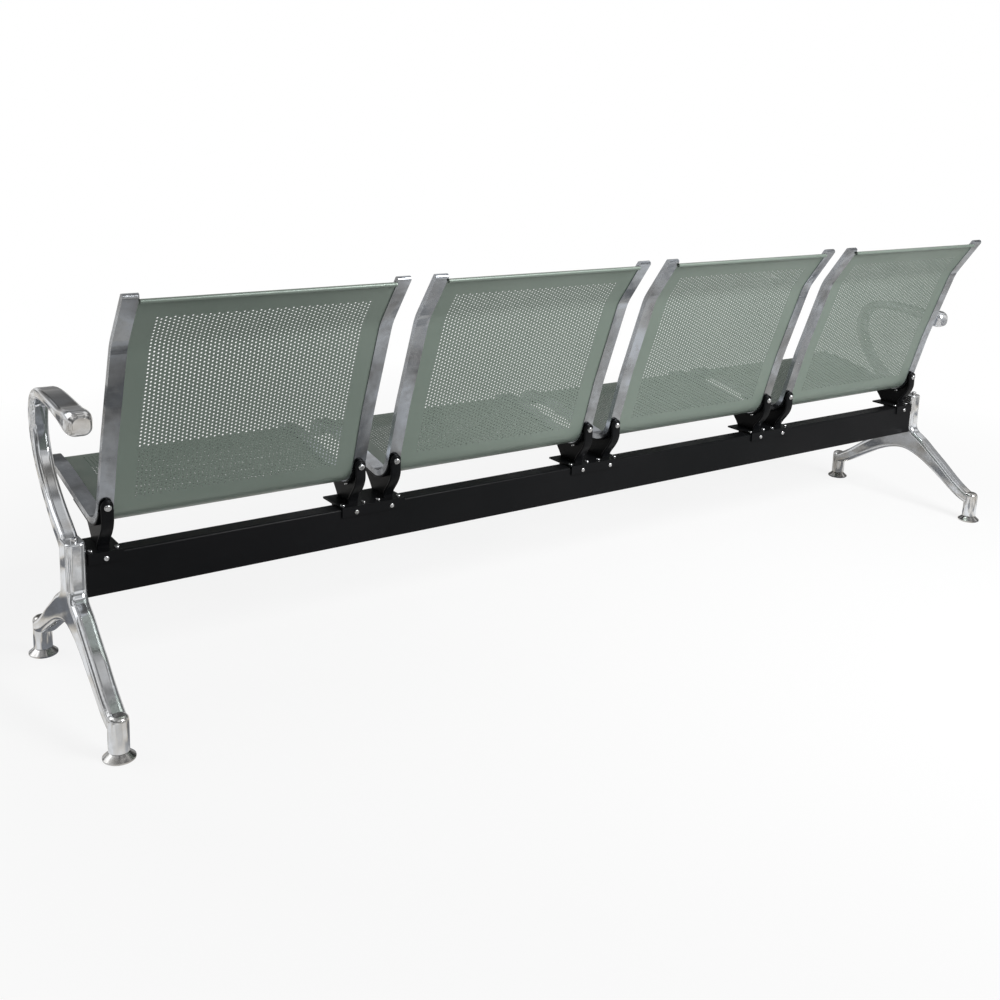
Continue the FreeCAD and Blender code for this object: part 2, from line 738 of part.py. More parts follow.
def block(x_low, x_high, y_low, y_high, z_low, z_high):
    return Part.makeBox(x_high - x_low, y_high - y_low, z_high - z_low, Vector(x_low, y_low, z_low))


def round_uprights(shape, radius, low, high):
    """Rounds the upright edges of a block between two heights."""
    edges = [
        edge for edge in shape.Edges
        if edge.BoundBox.ZLength > 1 and edge.BoundBox.XLength < 0.01 and edge.BoundBox.YLength < 0.01
        and edge.BoundBox.ZMin > low - 0.1 and edge.BoundBox.ZMax < high + 0.1
    ]
    return shape.makeFillet(radius, edges)


def smooth_edge(points):
    """A smooth edge in the Y-Z plane through (y, z) points."""
    line = Part.BSplineCurve()
    line.interpolate([Vector(0, y, z) for y, z in points])
    return line.toShape()


def leg_casting(half_width):
    """The hub and both toes as one flowing casting: a side outline with an arch, and round edges."""
    half_hub, seam = size["hub_depth"] / 2, size["seam_z"]
    toe_end = size["foot_spread"] - 3
    upper = [
        (half_hub, seam), (half_hub + 5, seam - 12), (56, 198), (98, 169),
        (136, 142), (174, 113), (210, 89), (toe_end, 78),
    ]
    arch = [(0, 152), (32, 147), (74, 131), (115, 108), (157, 82), (197, 59), (toe_end, 48)]
    edges = [smooth_edge([(-y, z) for y, z in arch[:0:-1]] + arch)]
    for side in (1, -1):
        edges.append(smooth_edge([(y * side, z) for y, z in upper]))
        toe = [Vector(0, y * side, z) for y, z in (upper[-1], arch[-1])]
        edges.append(Part.LineSegment(toe[0], toe[1]).toShape())
    edges.append(Part.LineSegment(Vector(0, half_hub, seam), Vector(0, -half_hub, seam)).toShape())
    face = Part.Face(Part.Wire(Part.__sortEdges__(edges)))
    face.translate(Vector(-half_width, 0, 0))
    casting = face.extrude(Vector(2 * half_width, 0, 0))
    flowing = [
        edge for edge in casting.Edges
        if edge.BoundBox.XLength < 0.01 and edge.BoundBox.YLength > 2 * half_hub + 1
        and edge.BoundBox.ZLength > 1
    ]
    return casting.makeFillet(size["casting_round"], flowing)


def make_leg(name, sign):
    """Cast leg: hub and two splayed toes, foot sockets, tenon for the armrest and spigot for the beam."""
    half_width = size["leg_width"] / 2
    spread, socket_top = size["foot_spread"], size["socket_top_z"]
    pieces = [leg_casting(half_width)]
    for _, direction in FEET:
        socket = Part.makeCylinder(
            size["socket_radius"], socket_top - size["socket_low_z"],
            Vector(0, direction * spread, size["socket_low_z"]),
        )
        pieces.append(socket.makeFillet(9, [top_edge(socket)]))
    gap = size["tenon_clearance"]
    spigot_half_y = half_beam_depth - size["beam_wall"] - gap
    spigot_low = size["beam_floor"] + size["beam_wall"] + gap
    spigot_high = beam_top - size["beam_wall"] - gap
    tenon_x, tenon_y = size["tenon_width"] / 2, size["tenon_depth"] / 2
    pieces.append(block(-tenon_x, tenon_x, -tenon_y, tenon_y, size["seam_z"] - 5, spigot_high))
    inward = sorted((0, -sign * (half_width + size["spigot_length"])))
    spigot = block(inward[0], inward[1], -spigot_half_y, spigot_half_y, spigot_low, spigot_high)
    lengthwise = [edge for edge in spigot.Edges if edge.BoundBox.XLength > half_width]
    pieces.append(spigot.makeFillet(size["beam_corner"] - size["beam_wall"] + gap, lengthwise))
    leg = pieces[0].multiFuse(pieces[1:]).removeSplitter()
    bore = size["stud_radius"] + size["stud_clearance"]
    tools = []
    for _, direction in FEET:
        tools.append(
            Part.makeCylinder(
                bore, size["stud_top_z"] + 4 - size["socket_low_z"] + 5,
                Vector(0, direction * spread, size["socket_low_z"] - 5),
            )
        )
    bolt_bore = size["leg_bolt_radius"] + size["screw_clearance"]
    for x in leg_bolt_places(sign):
        tools.append(
            Part.makeCylinder(bolt_bore, 30, Vector(x - sign * leg_middle, 0, spigot_low - 2))
        )
    arm_bore = size["arm_bolt_radius"] + size["screw_clearance"]
    tools.append(Part.makeCylinder(arm_bore, 34, Vector(0, size["arm_bolt_y"], spigot_high - 30)))
    leg = leg.cut(Part.makeCompound(tools))
    finish_solids(f"leg_{name}", leg.Solids, sign * leg_middle)


def make_armrest(name, sign):
    """Cast armrest: sleeve over the leg's tenon, rising post, and a wide pad that turns down at the rear."""
    half_width = size["leg_width"] / 2
    half_hub = size["hub_depth"] / 2
    seam, top = size["seam_z"], size["sleeve_top_z"]
    width = size["leg_width"]
    sleeve = block(-half_width, half_width, -half_hub, half_hub, seam, top)
    sleeve = round_uprights(sleeve, size["casting_round"], seam, top)
    sleeve = sleeve.makeFillet(4, [edge for edge in sleeve.Edges if edge.BoundBox.ZMin > top - 0.1])
    post_stations = [
        (-4, 276, width - 3, 34, 9),
        (-24, 304, width - 3, 32, 10),
        (-66, 331, width - 3, 29, 10),
        (-114, 365, width - 4, 27, 10),
        (-156, 407, width - 4, 26, 10),
        (-184, 454, width - 3, 26, 10),
        (-191, 502, width - 1, 25, 10),
        (-174, 538, width + 2, 23, 9),
        (-134, 556, width + 6, 22, 8),
        (-78, 560, width + 9, 21, 8),
        (-18, 556, width + 10, 22, 8),
        (28, 551, width + 11, 28, 9),
        (54, 548, width + 11, 40, 12),
        (74, 546, width + 9, 43, 15),
        (88, 545, width - 6, 30, 12),
    ]
    post = limb(post_stations)
    armrest = sleeve.fuse(post).removeSplitter()
    gap = size["tenon_clearance"]
    tenon_x, tenon_y = size["tenon_width"] / 2 + gap, size["tenon_depth"] / 2 + gap
    window_y = half_beam_depth - size["beam_wall"]
    window = sorted((0, -sign * (half_width + 1)))
    spigot_high = beam_top - size["beam_wall"]
    tools = [
        block(-tenon_x, tenon_x, -tenon_y, tenon_y, seam - 1, spigot_high),
        block(window[0], window[1], -window_y, window_y, seam - 1, spigot_high),
        Part.makeCylinder(
            size["arm_bolt_radius"] + size["screw_clearance"], top - spigot_high + 2,
            Vector(0, size["arm_bolt_y"], spigot_high - 1),
        ),
        Part.makeCylinder(size["arm_head_radius"] + 1, 60, Vector(0, size["arm_bolt_y"], top)),
        post_pocket(top),
    ]
    armrest = armrest.cut(Part.makeCompound(tools))
    finish_solids(f"armrest_{name}", armrest.Solids, sign * leg_middle)


def post_pocket(top):
    """The shallow pocket in the post's rear face, under the bend of the arm."""
    depth = 7
    tool = block(-9, 9, -depth, depth, -24, 24)
    tool = tool.makeFillet(5, [edge for edge in tool.Edges if edge.BoundBox.YLength > depth])
    tool.rotate(Vector(0, 0, 0), Vector(1, 0, 0), 12)
    tool.translate(Vector(0, -174, top + 184))
    return tool


def make_arm_bolt(name, sign):
    """Socket-head bolt that holds the armrest down on the leg's tenon."""
    top = size["sleeve_top_z"]
    head = Part.makeCylinder(size["arm_head_radius"], size["arm_head_height"], Vector(0, 0, 0))
    head = head.makeFillet(1.5, [top_edge(head)])
    key = hexagon_prism(6, size["arm_head_height"] / 2 + 1, size["arm_head_height"] / 2)
    shank_length = top - (beam_top - size["beam_wall"]) + 26
    shank = Part.makeCylinder(size["arm_bolt_radius"], shank_length + 1, Vector(0, 0, -shank_length))
    bolt = head.cut(key).fuse(shank).removeSplitter()
    bolt.translate(Vector(0, size["arm_bolt_y"], top))
    finish_solids(f"armrest_bolt_{name}", bolt.Solids, sign * leg_middle)


def hexagon_prism(flats, height, low):
    corner = flats / math.sqrt(3)
    points = [
        Vector(math.cos(math.radians(60 * step)) * corner, math.sin(math.radians(60 * step)) * corner, low)
        for step in range(6)
    ]
    return Part.Face(Part.makePolygon(points + points[:1])).extrude(Vector(0, 0, height))


def make_leg_bolts(name, sign):
    """The two bolts from below the beam into the leg's spigot."""
    bolt = domed_bolt(size["leg_bolt_radius"], 20, size["leg_bolt_radius"] * 1.7, 4)
    solids = [
        set_along(bolt, Vector(x, 0, size["beam_floor"]), Vector(0, 0, -1)) for x in leg_bolt_places(sign)
    ]
    finish_solids(f"leg_bolts_{name}", solids, 0)


# Levelling feet

def revolved(body, name, points):
    """A turned piece from an outline of (radius, height) points."""
    doc.recompute()
    drawing = new_sketch(body, name, "XZ_Plane", polygon(points))
    turned = body.newObject("PartDesign::Revolution", f"{body.Name}_turned")
    turned.Profile = drawing
    turned.ReferenceAxis = (drawing, ["V_Axis"])
    turned.Angle = 360


def set_foot(body, label, sign, direction):
    body.Label = label
    body.Placement = FreeCAD.Placement(
        Vector(sign * leg_middle, beam_shift + direction * size["foot_spread"], 0), FreeCAD.Rotation()
    )
    nodes.append(body)


def make_foot(name, sign, place_name, direction):
    """Pad and threaded stud of one levelling foot."""
    where = f"{name}_{place_name}"
    bore = size["stud_radius"] + size["stud_clearance"]
    pad = new_body(f"foot_pad_{where}")
    revolved(pad, "outline", [
        (0, 0), (size["pad_radius"] - 2, 0), (size["pad_radius"], 1.5),
        (size["pad_radius"], size["pad_rim"]),
        (size["pad_hub_radius"], size["pad_hub_z"] - 1),
        (size["pad_hub_radius"] - 1, size["pad_hub_z"]),
        (bore, size["pad_hub_z"]), (bore, size["pad_floor"]), (0, size["pad_floor"]),
    ])
    set_foot(pad, f"foot_pad_{where}", sign, direction)

    stud = new_body(f"foot_stud_{where}")
    revolved(stud, "outline", [
        (0, size["pad_floor"]), (size["stud_radius"], size["pad_floor"]),
        (size["stud_radius"], size["stud_top_z"] - 1.5), (size["stud_radius"] - 1.5, size["stud_top_z"]),
        (0, size["stud_top_z"]),
    ])
    set_foot(stud, f"foot_stud_{where}", sign, direction)


def build():
    make_beam()
    groups, screws = bracket_groups(), base_screw_places()
    for number, (group, places) in enumerate(zip(groups, screws), start=1):
        make_base(number, group, places)
        make_base_screws(number, group, places)
    for number, middle in enumerate(seat_middles, start=1):
        make_sheet(number, middle)
        for name, side in ENDS:
            make_strip(number, middle, name, side)
            make_bracket(number, name, middle + side * strip_offset, side)
        make_seat_bolts(number, middle)
    for name, sign in ENDS:
        make_leg(name, sign)
        make_armrest(name, sign)
        make_arm_bolt(name, sign)
        make_leg_bolts(name, sign)
        for place_name, direction in FEET:
            make_foot(name, sign, place_name, direction)


def check_and_write():
    doc.recompute()
    for thing in doc.Objects:
        if "Invalid" in thing.State or "Error" in thing.State:
            raise RuntimeError(f"{thing.Label} failed: {thing.State}")
    os.makedirs("parts", exist_ok=True)
    for thing in nodes:
        if thing.Shape.isNull() or not thing.Shape.isValid() or not thing.Shape.Solids:
            raise RuntimeError(f"{thing.Label} has no valid solid")
        thing.Shape.exportStep(os.path.join("parts", f"{thing.Label}.step"))
    print(f"{len(nodes)} sub-parts written")


build()
check_and_write()
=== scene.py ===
"""Four-place beam seating: perforated steel seats, chromed strips and castings, black beam and brackets.

Lengths in the classes are millimetres, as a drawing gives them; METRE turns them into scene lengths.
X runs along the beam, +Z is up from the floor and the sitters face -Y.
"""

import logging
import math
from collections.abc import Callable
from dataclasses import dataclass, field
from enum import Enum

import bmesh
import bpy
from mathutils import Matrix, Vector


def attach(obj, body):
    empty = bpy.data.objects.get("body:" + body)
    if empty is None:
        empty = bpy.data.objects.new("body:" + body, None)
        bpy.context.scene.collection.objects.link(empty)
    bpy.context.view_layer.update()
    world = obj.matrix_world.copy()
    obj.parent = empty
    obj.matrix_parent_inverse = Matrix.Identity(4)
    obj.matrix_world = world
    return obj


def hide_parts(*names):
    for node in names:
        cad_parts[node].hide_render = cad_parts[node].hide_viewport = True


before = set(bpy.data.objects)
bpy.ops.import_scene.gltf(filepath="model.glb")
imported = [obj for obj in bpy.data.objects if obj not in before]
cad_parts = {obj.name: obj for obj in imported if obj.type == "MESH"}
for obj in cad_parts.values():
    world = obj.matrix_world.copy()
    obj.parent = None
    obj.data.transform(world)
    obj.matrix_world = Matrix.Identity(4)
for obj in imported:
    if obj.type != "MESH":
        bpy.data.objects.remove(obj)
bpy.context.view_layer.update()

log = logging.getLogger("beam_seating")

METRE = 0.001
BENCH = "bench"
SEATS = (1, 2, 3, 4)
BASES = (1, 2, 3, 4, 5)
SEAT_PITCH = 590.0
SMOOTH_ANGLE = math.radians(32)
WHITE = (1.0, 1.0, 1.0)

# The Mix node repeats its socket names for each kind of data. These are the numbers for colours.
MIX_SHARE = 0
MIX_FIRST_COLOUR = 6
MIX_SECOND_COLOUR = 7
MIX_COLOUR_RESULT = 2

Colour = tuple[float, float, float]
Band = tuple[float, ...]
Fed = bpy.types.NodeSocket | bpy.types.ID | float | tuple[float, ...]


class Side(Enum):
    """The two ends of the bench, as the sitters name them."""

    LEFT = "left"
    RIGHT = "right"


class FootPlace(Enum):
    """The two feet of one leg."""

    FRONT = "front"
    REAR = "rear"


class Stretch(Enum):
    """The two halves of a one-piece seat sheet."""

    PAN = "pan"
    BACK = "back"


class Graph:
    """A node tree being built, for a finish, an effect or a form."""

    def __init__(self, tree: bpy.types.NodeTree) -> None:
        """Take over an empty tree.

        Args:
            tree: the tree that the nodes go into.
        """
        self.tree = tree

    def socket(self, name: str, kind: str, output: bool = False, value: float | None = None) -> None:
        """Add a named input or output to a group.

        Args:
            name: the socket's name.
            kind: the socket's type, such as NodeSocketFloat.
            output: True for an output.
            value: the value that an input starts with.
        """
        made = self.tree.interface.new_socket(
            name=name, in_out="OUTPUT" if output else "INPUT", socket_type=kind
        )
        if value is not None:
            made.default_value = value

    def add(self, kind: str, inputs: dict[str | int, Fed] | None = None,
            **settings: object) -> bpy.types.Node:
        """Add a node, set it up and feed its inputs.

        Args:
            kind: the node's type.
            inputs: values or output sockets by input name or number.
            settings: attributes of the node.

        Returns:
            The new node.
        """
        node = self.tree.nodes.new(kind)
        for name, value in settings.items():
            setattr(node, name, value)
        self.feed(node, inputs or {})
        return node

    def feed(self, node: bpy.types.Node, inputs: dict[str | int, Fed]) -> None:
        """Link or set a node's inputs.

        Args:
            node: the node.
            inputs: values or output sockets by input name or number.
        """
        for name, value in inputs.items():
            if isinstance(value, bpy.types.NodeSocket):
                self.tree.links.new(value, node.inputs[name])
            else:
                node.inputs[name].default_value = value

    def sum(self, operation: str, first: Fed, second: Fed) -> bpy.types.NodeSocket:
        """Work out one value from two.

        Args:
            operation: name of the Math operation.
            first: a value or a socket.
            second: a value or a socket.

        Returns:
            The result's socket.
        """
        return self.add("ShaderNodeMath", {0: first, 1: second}, operation=operation).outputs[0]

    def vectors(self, operation: str, inputs: dict[str | int, Fed]) -> bpy.types.Node:
        """Add a Vector Math node.

        Args:
            operation: name of the operation.
            inputs: its inputs by name or number.

        Returns:
            The node.
        """
        return self.add("ShaderNodeVectorMath", inputs, operation=operation)

    def range(self, value: Fed, low: float, high: float, to_low: float = 0.0,
              to_high: float = 1.0) -> bpy.types.NodeSocket:
        """Stretch a value from one range to another, held inside it.

        Args:
            value: the value's socket.
            low: lowest value that counts.
            high: highest value that counts.
            to_low: result at low.
            to_high: result at high.

        Returns:
            The result's socket.
        """
        node = self.add("ShaderNodeMapRange", {
            "Value": value, "From Min": low, "From Max": high, "To Min": to_low, "To Max": to_high,
        })
        return node.outputs["Result"]

    def noise(self, place: Fed, scale: Fed, detail: float, distortion: float = 0.0) -> bpy.types.NodeSocket:
        """Add a noise texture.

        Args:
            place: the position's socket.
            scale: how many waves to a metre.
            detail: how many finer layers it has.
            distortion: how much it swirls.

        Returns:
            The noise value's socket.
        """
        return self.add("ShaderNodeTexNoise", {
            "Vector": place, "Scale": scale, "Detail": detail, "Distortion": distortion,
        }).outputs[0]

    def mix(self, share: Fed, first: Fed, second: Fed) -> bpy.types.NodeSocket:
        """Blend two colours.

        Args:
            share: how much of the second colour shows.
            first: a colour or a socket.
            second: a colour or a socket.

        Returns:
            The blended colour's socket.
        """
        ends = [end if isinstance(end, bpy.types.NodeSocket) else (*end, 1.0) for end in (first, second)]
        node = self.add("ShaderNodeMix", {
            MIX_SHARE: share, MIX_FIRST_COLOUR: ends[0], MIX_SECOND_COLOUR: ends[1],
        }, data_type="RGBA")
        return node.outputs[MIX_COLOUR_RESULT]


def new_group(name: str, inputs: dict[str, float], outputs: dict[str, str]) -> Graph:
    """Start a shader group with number inputs.

    Args:
        name: the group's name.
        inputs: starting value of each input.
        outputs: socket type of each output.

    Returns:
        The group's graph.
    """
    graph = Graph(bpy.data.node_groups.new(name, "ShaderNodeTree"))
    for label, value in inputs.items():
        graph.socket(label, "NodeSocketFloat", value=value)
    for label, kind in outputs.items():
        graph.socket(label, kind, output=True)
    return graph


def place_of_surface(graph: Graph) -> bpy.types.NodeSocket:
    """Position on the piece, in metres from the origin under the bench."""
    return graph.add("ShaderNodeTexCoord").outputs["Object"]


@dataclass
class Effects:
    """Surface effects that several finishes share, each a shader group built once.

    A band holds the lowest and highest value that count, and then what they turn into where that
    isn't zero and one.
    """

    grain_share: float = 0.6
    smear_band: Band = (0.42, 0.72)
    smear_break_band: Band = (0.3, 0.7)
    facing_up_band: Band = (0.25, 0.95)
    patch_band: Band = (0.35, 0.7)
    speck_scale: float = 420.0
    speck_band: Band = (0.35, 0.6, 0.35, 1.0)
    pit_band: Band = (0.0, 0.12, -0.03, 0.0)
    hairline_turn: tuple[float, float, float] = (0.12, 0.2, 0.1)
    hairline_stretch: tuple[float, float, float] = (0.03, 1.0, 1.0)
    hairline_band: Band = (0.62, 0.68)
    built: dict[str, bpy.types.NodeTree] = field(default_factory=dict)

    def build(self) -> None:
        """Build every group."""
        self.built = {
            "peel": self.coat_peel(),
            "handling": self.handling_marks(),
            "dust": self.settled_dust(),
            "ripple": self.polished_ripple(),
            "hairlines": self.hairlines(),
        }

    def use(self, graph: Graph, name: str, **values: float) -> bpy.types.NodeSocket:
        """Place a group in a material.

        Args:
            graph: the material's graph.
            name: which effect.
            values: its inputs, with underscores for the spaces of their names.

        Returns:
            The socket of what the group puts out.
        """
        inputs = {label.replace("_", " "): value for label, value in values.items()}
        return graph.add("ShaderNodeGroup", inputs, node_tree=self.built[name]).outputs[0]

    def coat_peel(self) -> bpy.types.NodeTree:
        """Fine orange peel of a powder coat, as a height."""
        graph = new_group("coat_peel", {"Grain": 900.0, "Swell": 120.0}, {"Height": "NodeSocketFloat"})
        given = graph.add("NodeGroupInput").outputs
        place = place_of_surface(graph)
        grain = graph.noise(place, given["Grain"], detail=2.0)
        swell = graph.noise(place, given["Swell"], detail=1.0)
        height = graph.sum("ADD", graph.sum("MULTIPLY", grain, self.grain_share),
                           graph.sum("MULTIPLY", swell, 1.0 - self.grain_share))
        graph.add("NodeGroupOutput", {"Height": height})
        return graph.tree

    def handling_marks(self) -> bpy.types.NodeTree:
        """Cloudy smears left by hands and cloths, as a mask."""
        graph = new_group("handling_marks", {"Size": 9.0, "Break Up": 60.0}, {"Mask": "NodeSocketFloat"})
        given = graph.add("NodeGroupInput").outputs
        place = place_of_surface(graph)
        clouds = graph.noise(place, given["Size"], detail=4.0, distortion=0.8)
        breaks = graph.noise(place, given["Break Up"], detail=3.0)
        mask = graph.sum("MULTIPLY", graph.range(clouds, *self.smear_band),
                         graph.range(breaks, *self.smear_break_band))
        graph.add("NodeGroupOutput", {"Mask": mask})
        return graph.tree

    def settled_dust(self) -> bpy.types.NodeTree:
        """Dust that settles where a surface faces up, as a mask."""
        graph = new_group("settled_dust", {"Patches": 25.0, "Amount": 0.5}, {"Mask": "NodeSocketFloat"})
        given = graph.add("NodeGroupInput").outputs
        place = place_of_surface(graph)
        facing = graph.add("ShaderNodeNewGeometry").outputs["Normal"]
        upward = graph.add("ShaderNodeSeparateXYZ", {"Vector": facing}).outputs["Z"]
        settled = graph.range(upward, *self.facing_up_band)
        patches = graph.noise(place, given["Patches"], detail=5.0)
        specks = graph.noise(place, self.speck_scale, detail=1.0)
        shares = (graph.range(patches, *self.patch_band), graph.range(specks, *self.speck_band),
                  given["Amount"])
        for share in shares:
            settled = graph.sum("MULTIPLY", settled, share)
        graph.add("NodeGroupOutput", {"Mask": settled})
        return graph.tree

    def polished_ripple(self) -> bpy.types.NodeTree:
        """Slow waviness of hand-polished metal under chrome, as a height."""
        graph = new_group("polished_ripple", {"Wave": 28.0, "Pits": 700.0}, {"Height": "NodeSocketFloat"})
        given = graph.add("NodeGroupInput").outputs
        place = place_of_surface(graph)
        wave = graph.noise(place, given["Wave"], detail=1.5)
        pits = graph.add("ShaderNodeTexVoronoi", {"Vector": place, "Scale": given["Pits"]})
        pitted = graph.range(pits.outputs["Distance"], *self.pit_band)
        graph.add("NodeGroupOutput", {"Height": graph.sum("ADD", wave, pitted)})
        return graph.tree

    def hairlines(self) -> bpy.types.NodeTree:
        """Thin wiping scratches that run mostly along the beam, as a mask."""
        graph = new_group("hairlines", {"Count": 260.0, "Share": 0.5}, {"Mask": "NodeSocketFloat"})
        given = graph.add("NodeGroupInput").outputs
        stretched = graph.add("ShaderNodeMapping", {
            "Vector": place_of_surface(graph), "Rotation": self.hairline_turn,
            "Scale": self.hairline_stretch,
        }).outputs[0]
        lines = graph.noise(stretched, given["Count"], detail=2.0)
        thin = graph.range(lines, *self.hairline_band)
        graph.add("NodeGroupOutput", {"Mask": graph.sum("MULTIPLY", thin, given["Share"])})
        return graph.tree


@dataclass(frozen=True)
class PowderCoat:
    """Baked powder paint on steel: a slight sparkle, orange peel, smears and dust."""

    name: str
    colour: Colour
    worn_colour: Colour
    dust_colour: Colour
    roughness: float
    dust: float
    peel: float
    specular: float
    metallic: float = 0.0
    coat: float = 0.0
    tint_scale: float = 2.6
    tint_band: Band = (0.35, 0.65)
    smears_dull: float = 0.14
    dust_dulls: float = 0.3
    lines_dull: float = 0.12
    peel_depth: float = 0.0004

    def build(self, effects: Effects) -> bpy.types.Material:
        """Build the material.

        Args:
            effects: the shared surface effects.

        Returns:
            The material.
        """
        material, graph, shader = new_material(self.name)
        smears = effects.use(graph, "handling", Size=7.0)
        dust = effects.use(graph, "dust", Patches=18.0, Amount=self.dust)
        lines = effects.use(graph, "hairlines", Share=0.4)
        peel = effects.use(graph, "peel", Grain=950.0)
        tint = graph.noise(place_of_surface(graph), self.tint_scale, detail=3.0)
        shade = graph.mix(graph.range(tint, *self.tint_band), self.colour, self.worn_colour)
        shade = graph.mix(dust, shade, self.dust_colour)
        smeared = graph.range(smears, 0.0, 1.0, self.roughness, self.roughness + self.smears_dull)
        rough = graph.sum("ADD", smeared, graph.sum("MULTIPLY", dust, self.dust_dulls))
        rough = graph.sum("ADD", rough, graph.sum("MULTIPLY", lines, self.lines_dull))
        bump = graph.add("ShaderNodeBump", {
            "Strength": self.peel, "Distance": self.peel_depth, "Height": peel,
        })
        graph.feed(shader, {
            "Base Color": shade, "Roughness": rough, "Normal": bump.outputs[0], "Metallic": self.metallic,
            "Specular IOR Level": self.specular, "Coat Weight": self.coat,
        })
        return material


@dataclass(frozen=True)
class Chrome:
    """Bright chrome over polished metal, with smears, faint hairlines, a slow ripple and painted reflections.
    """

    name: str
    colour: Colour
    smear_colour: Colour
    painted_reflection_colour: Colour
    roughness: float
    smear_roughness: float
    ripple: float
    wave: float
    metallic: float = 1.0
    painted_reflection_scale: float = 8.0
    painted_reflection_swirl: float = 1.2
    painted_reflection_band: Band = (0.45, 0.66)
    marks_dull: float = 0.2
    ripple_depth: float = 0.004

    def build(self, effects: Effects) -> bpy.types.Material:
        """Build the material.

        Args:
            effects: the shared surface effects.

        Returns:
            The material.
        """
        material, graph, shader = new_material(self.name)
        smear = effects.use(graph, "handling", Size=16.0, Break_Up=110.0)
        dust = effects.use(graph, "dust", Patches=40.0, Amount=0.25)
        lines = effects.use(graph, "hairlines", Count=420.0, Share=0.35)
        ripple = effects.use(graph, "ripple", Wave=self.wave)
        # Painted reflection: slow clouds of a darker colour stand in for dark surroundings that the chrome
        # would mirror.
        clouds = graph.noise(place_of_surface(graph), self.painted_reflection_scale, detail=2.0,
                             distortion=self.painted_reflection_swirl)
        shade = graph.mix(graph.range(clouds, *self.painted_reflection_band), self.colour, self.painted_reflection_colour)
        for mask in (smear, dust):
            shade = graph.mix(mask, shade, self.smear_colour)
        smeared = graph.range(smear, 0.0, 1.0, self.roughness, self.smear_roughness)
        marks = graph.sum("MAXIMUM", lines, dust)
        rough = graph.sum("ADD", smeared, graph.sum("MULTIPLY", marks, self.marks_dull))
        bump = graph.add("ShaderNodeBump", {
            "Strength": self.ripple, "Distance": self.ripple_depth, "Height": ripple,
        })
        graph.feed(shader, {
            "Base Color": shade, "Roughness": rough, "Normal": bump.outputs[0], "Metallic": self.metallic,
        })
        return material


def new_material(name: str) -> tuple[bpy.types.Material, Graph, bpy.types.Node]:
    """Start a material with one Principled shader.

    Args:
        name: the material's name.

    Returns:
        The material, its graph and its shader node.
    """
    material = bpy.data.materials.new(name)
    material.use_nodes = True
    graph = Graph(material.node_tree)
    shader = material.node_tree.nodes["Principled BSDF"]
    return material, graph, shader


@dataclass
class Finishes:
    """Every finish on the bench, by the record's slot."""

    effects: Effects = field(default_factory=Effects)
    ready: dict[str, bpy.types.Material] = field(default_factory=dict)

    def build(self) -> None:
        """Build the shared effects and then each finish."""
        self.effects.build()
        finishes = (
            PowderCoat("seat_steel", colour=(0.170, 0.212, 0.182), worn_colour=(0.190, 0.232, 0.202),
                       dust_colour=(0.33, 0.34, 0.30), roughness=0.39, dust=0.35, peel=0.25, specular=0.5,
                       metallic=0.35, coat=0.12),
            PowderCoat("black_steel", colour=(0.0045, 0.0050, 0.0056), worn_colour=(0.0070, 0.0072, 0.0080),
                       dust_colour=(0.045, 0.044, 0.042), roughness=0.28, dust=0.10, peel=0.4, specular=0.08),
            Chrome("chromed_strip", colour=(0.46, 0.49, 0.53), smear_colour=(0.35, 0.36, 0.375),
                   painted_reflection_colour=(0.31, 0.32, 0.335), roughness=0.13, smear_roughness=0.32, ripple=0.16,
                   wave=30.0),
            Chrome("chromed_casting", colour=(0.78, 0.80, 0.83), smear_colour=(0.62, 0.63, 0.64),
                   painted_reflection_colour=(0.58, 0.565, 0.54), roughness=0.05, smear_roughness=0.16, ripple=0.09,
                   wave=22.0, metallic=0.86),
            Chrome("chromed_foot", colour=(0.62, 0.62, 0.62), smear_colour=(0.40, 0.39, 0.37),
                   painted_reflection_colour=(0.34, 0.33, 0.31), roughness=0.11, smear_roughness=0.38, ripple=0.12,
                   wave=60.0),
            Chrome("bright_screw", colour=(0.70, 0.71, 0.73), smear_colour=(0.48, 0.48, 0.48),
                   painted_reflection_colour=(0.40, 0.40, 0.40), roughness=0.18, smear_roughness=0.34, ripple=0.08,
                   wave=90.0),
        )
        for finish in finishes:
            self.ready[finish.name] = finish.build(self.effects)

    def dress(self, nodes: list[str], slot: str) -> None:
        """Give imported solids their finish.

        Args:
            nodes: names of the solids.
            slot: which finish.
        """
        for name in nodes:
            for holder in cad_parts[name].material_slots:
                holder.material = self.ready[slot]
            log.info("dressed %s in %s", name, slot)


def finish_piece(piece: bpy.types.Object, body: str, replaced: list[str]) -> None:
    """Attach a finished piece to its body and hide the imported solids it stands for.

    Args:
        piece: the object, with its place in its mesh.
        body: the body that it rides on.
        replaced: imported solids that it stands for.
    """
    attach(piece, body)
    if replaced:
        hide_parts(*replaced)
    triangles = sum(len(face.vertices) - 2 for face in piece.data.polygons)
    log.info("piece %s on %s, %d triangles", piece.name, body, triangles)


def link(name: str, data: bpy.types.ID) -> bpy.types.Object:
    """Put data into the scene as an object at the origin."""
    made = bpy.data.objects.new(name, data)
    bpy.context.scene.collection.objects.link(made)
    return made


def taken_from(work: bmesh.types.BMesh, name: str) -> bpy.types.Mesh:
    """Turn a working mesh into plain mesh data and free it."""
    data = bpy.data.meshes.new(name)
    work.to_mesh(data)
    work.free()
    return data


def smooth(mesh: bpy.types.Mesh) -> None:
    """Shade a mesh smooth, with its sharp edges kept."""
    mesh.shade_smooth()
    mesh.set_sharp_from_angle(angle=SMOOTH_ANGLE)


def seat_middle(seat: int) -> float:
    """Where a seat's middle lies along the beam, from the middle of the bench."""
    return ((len(SEATS) + 1) / 2 - seat) * SEAT_PITCH


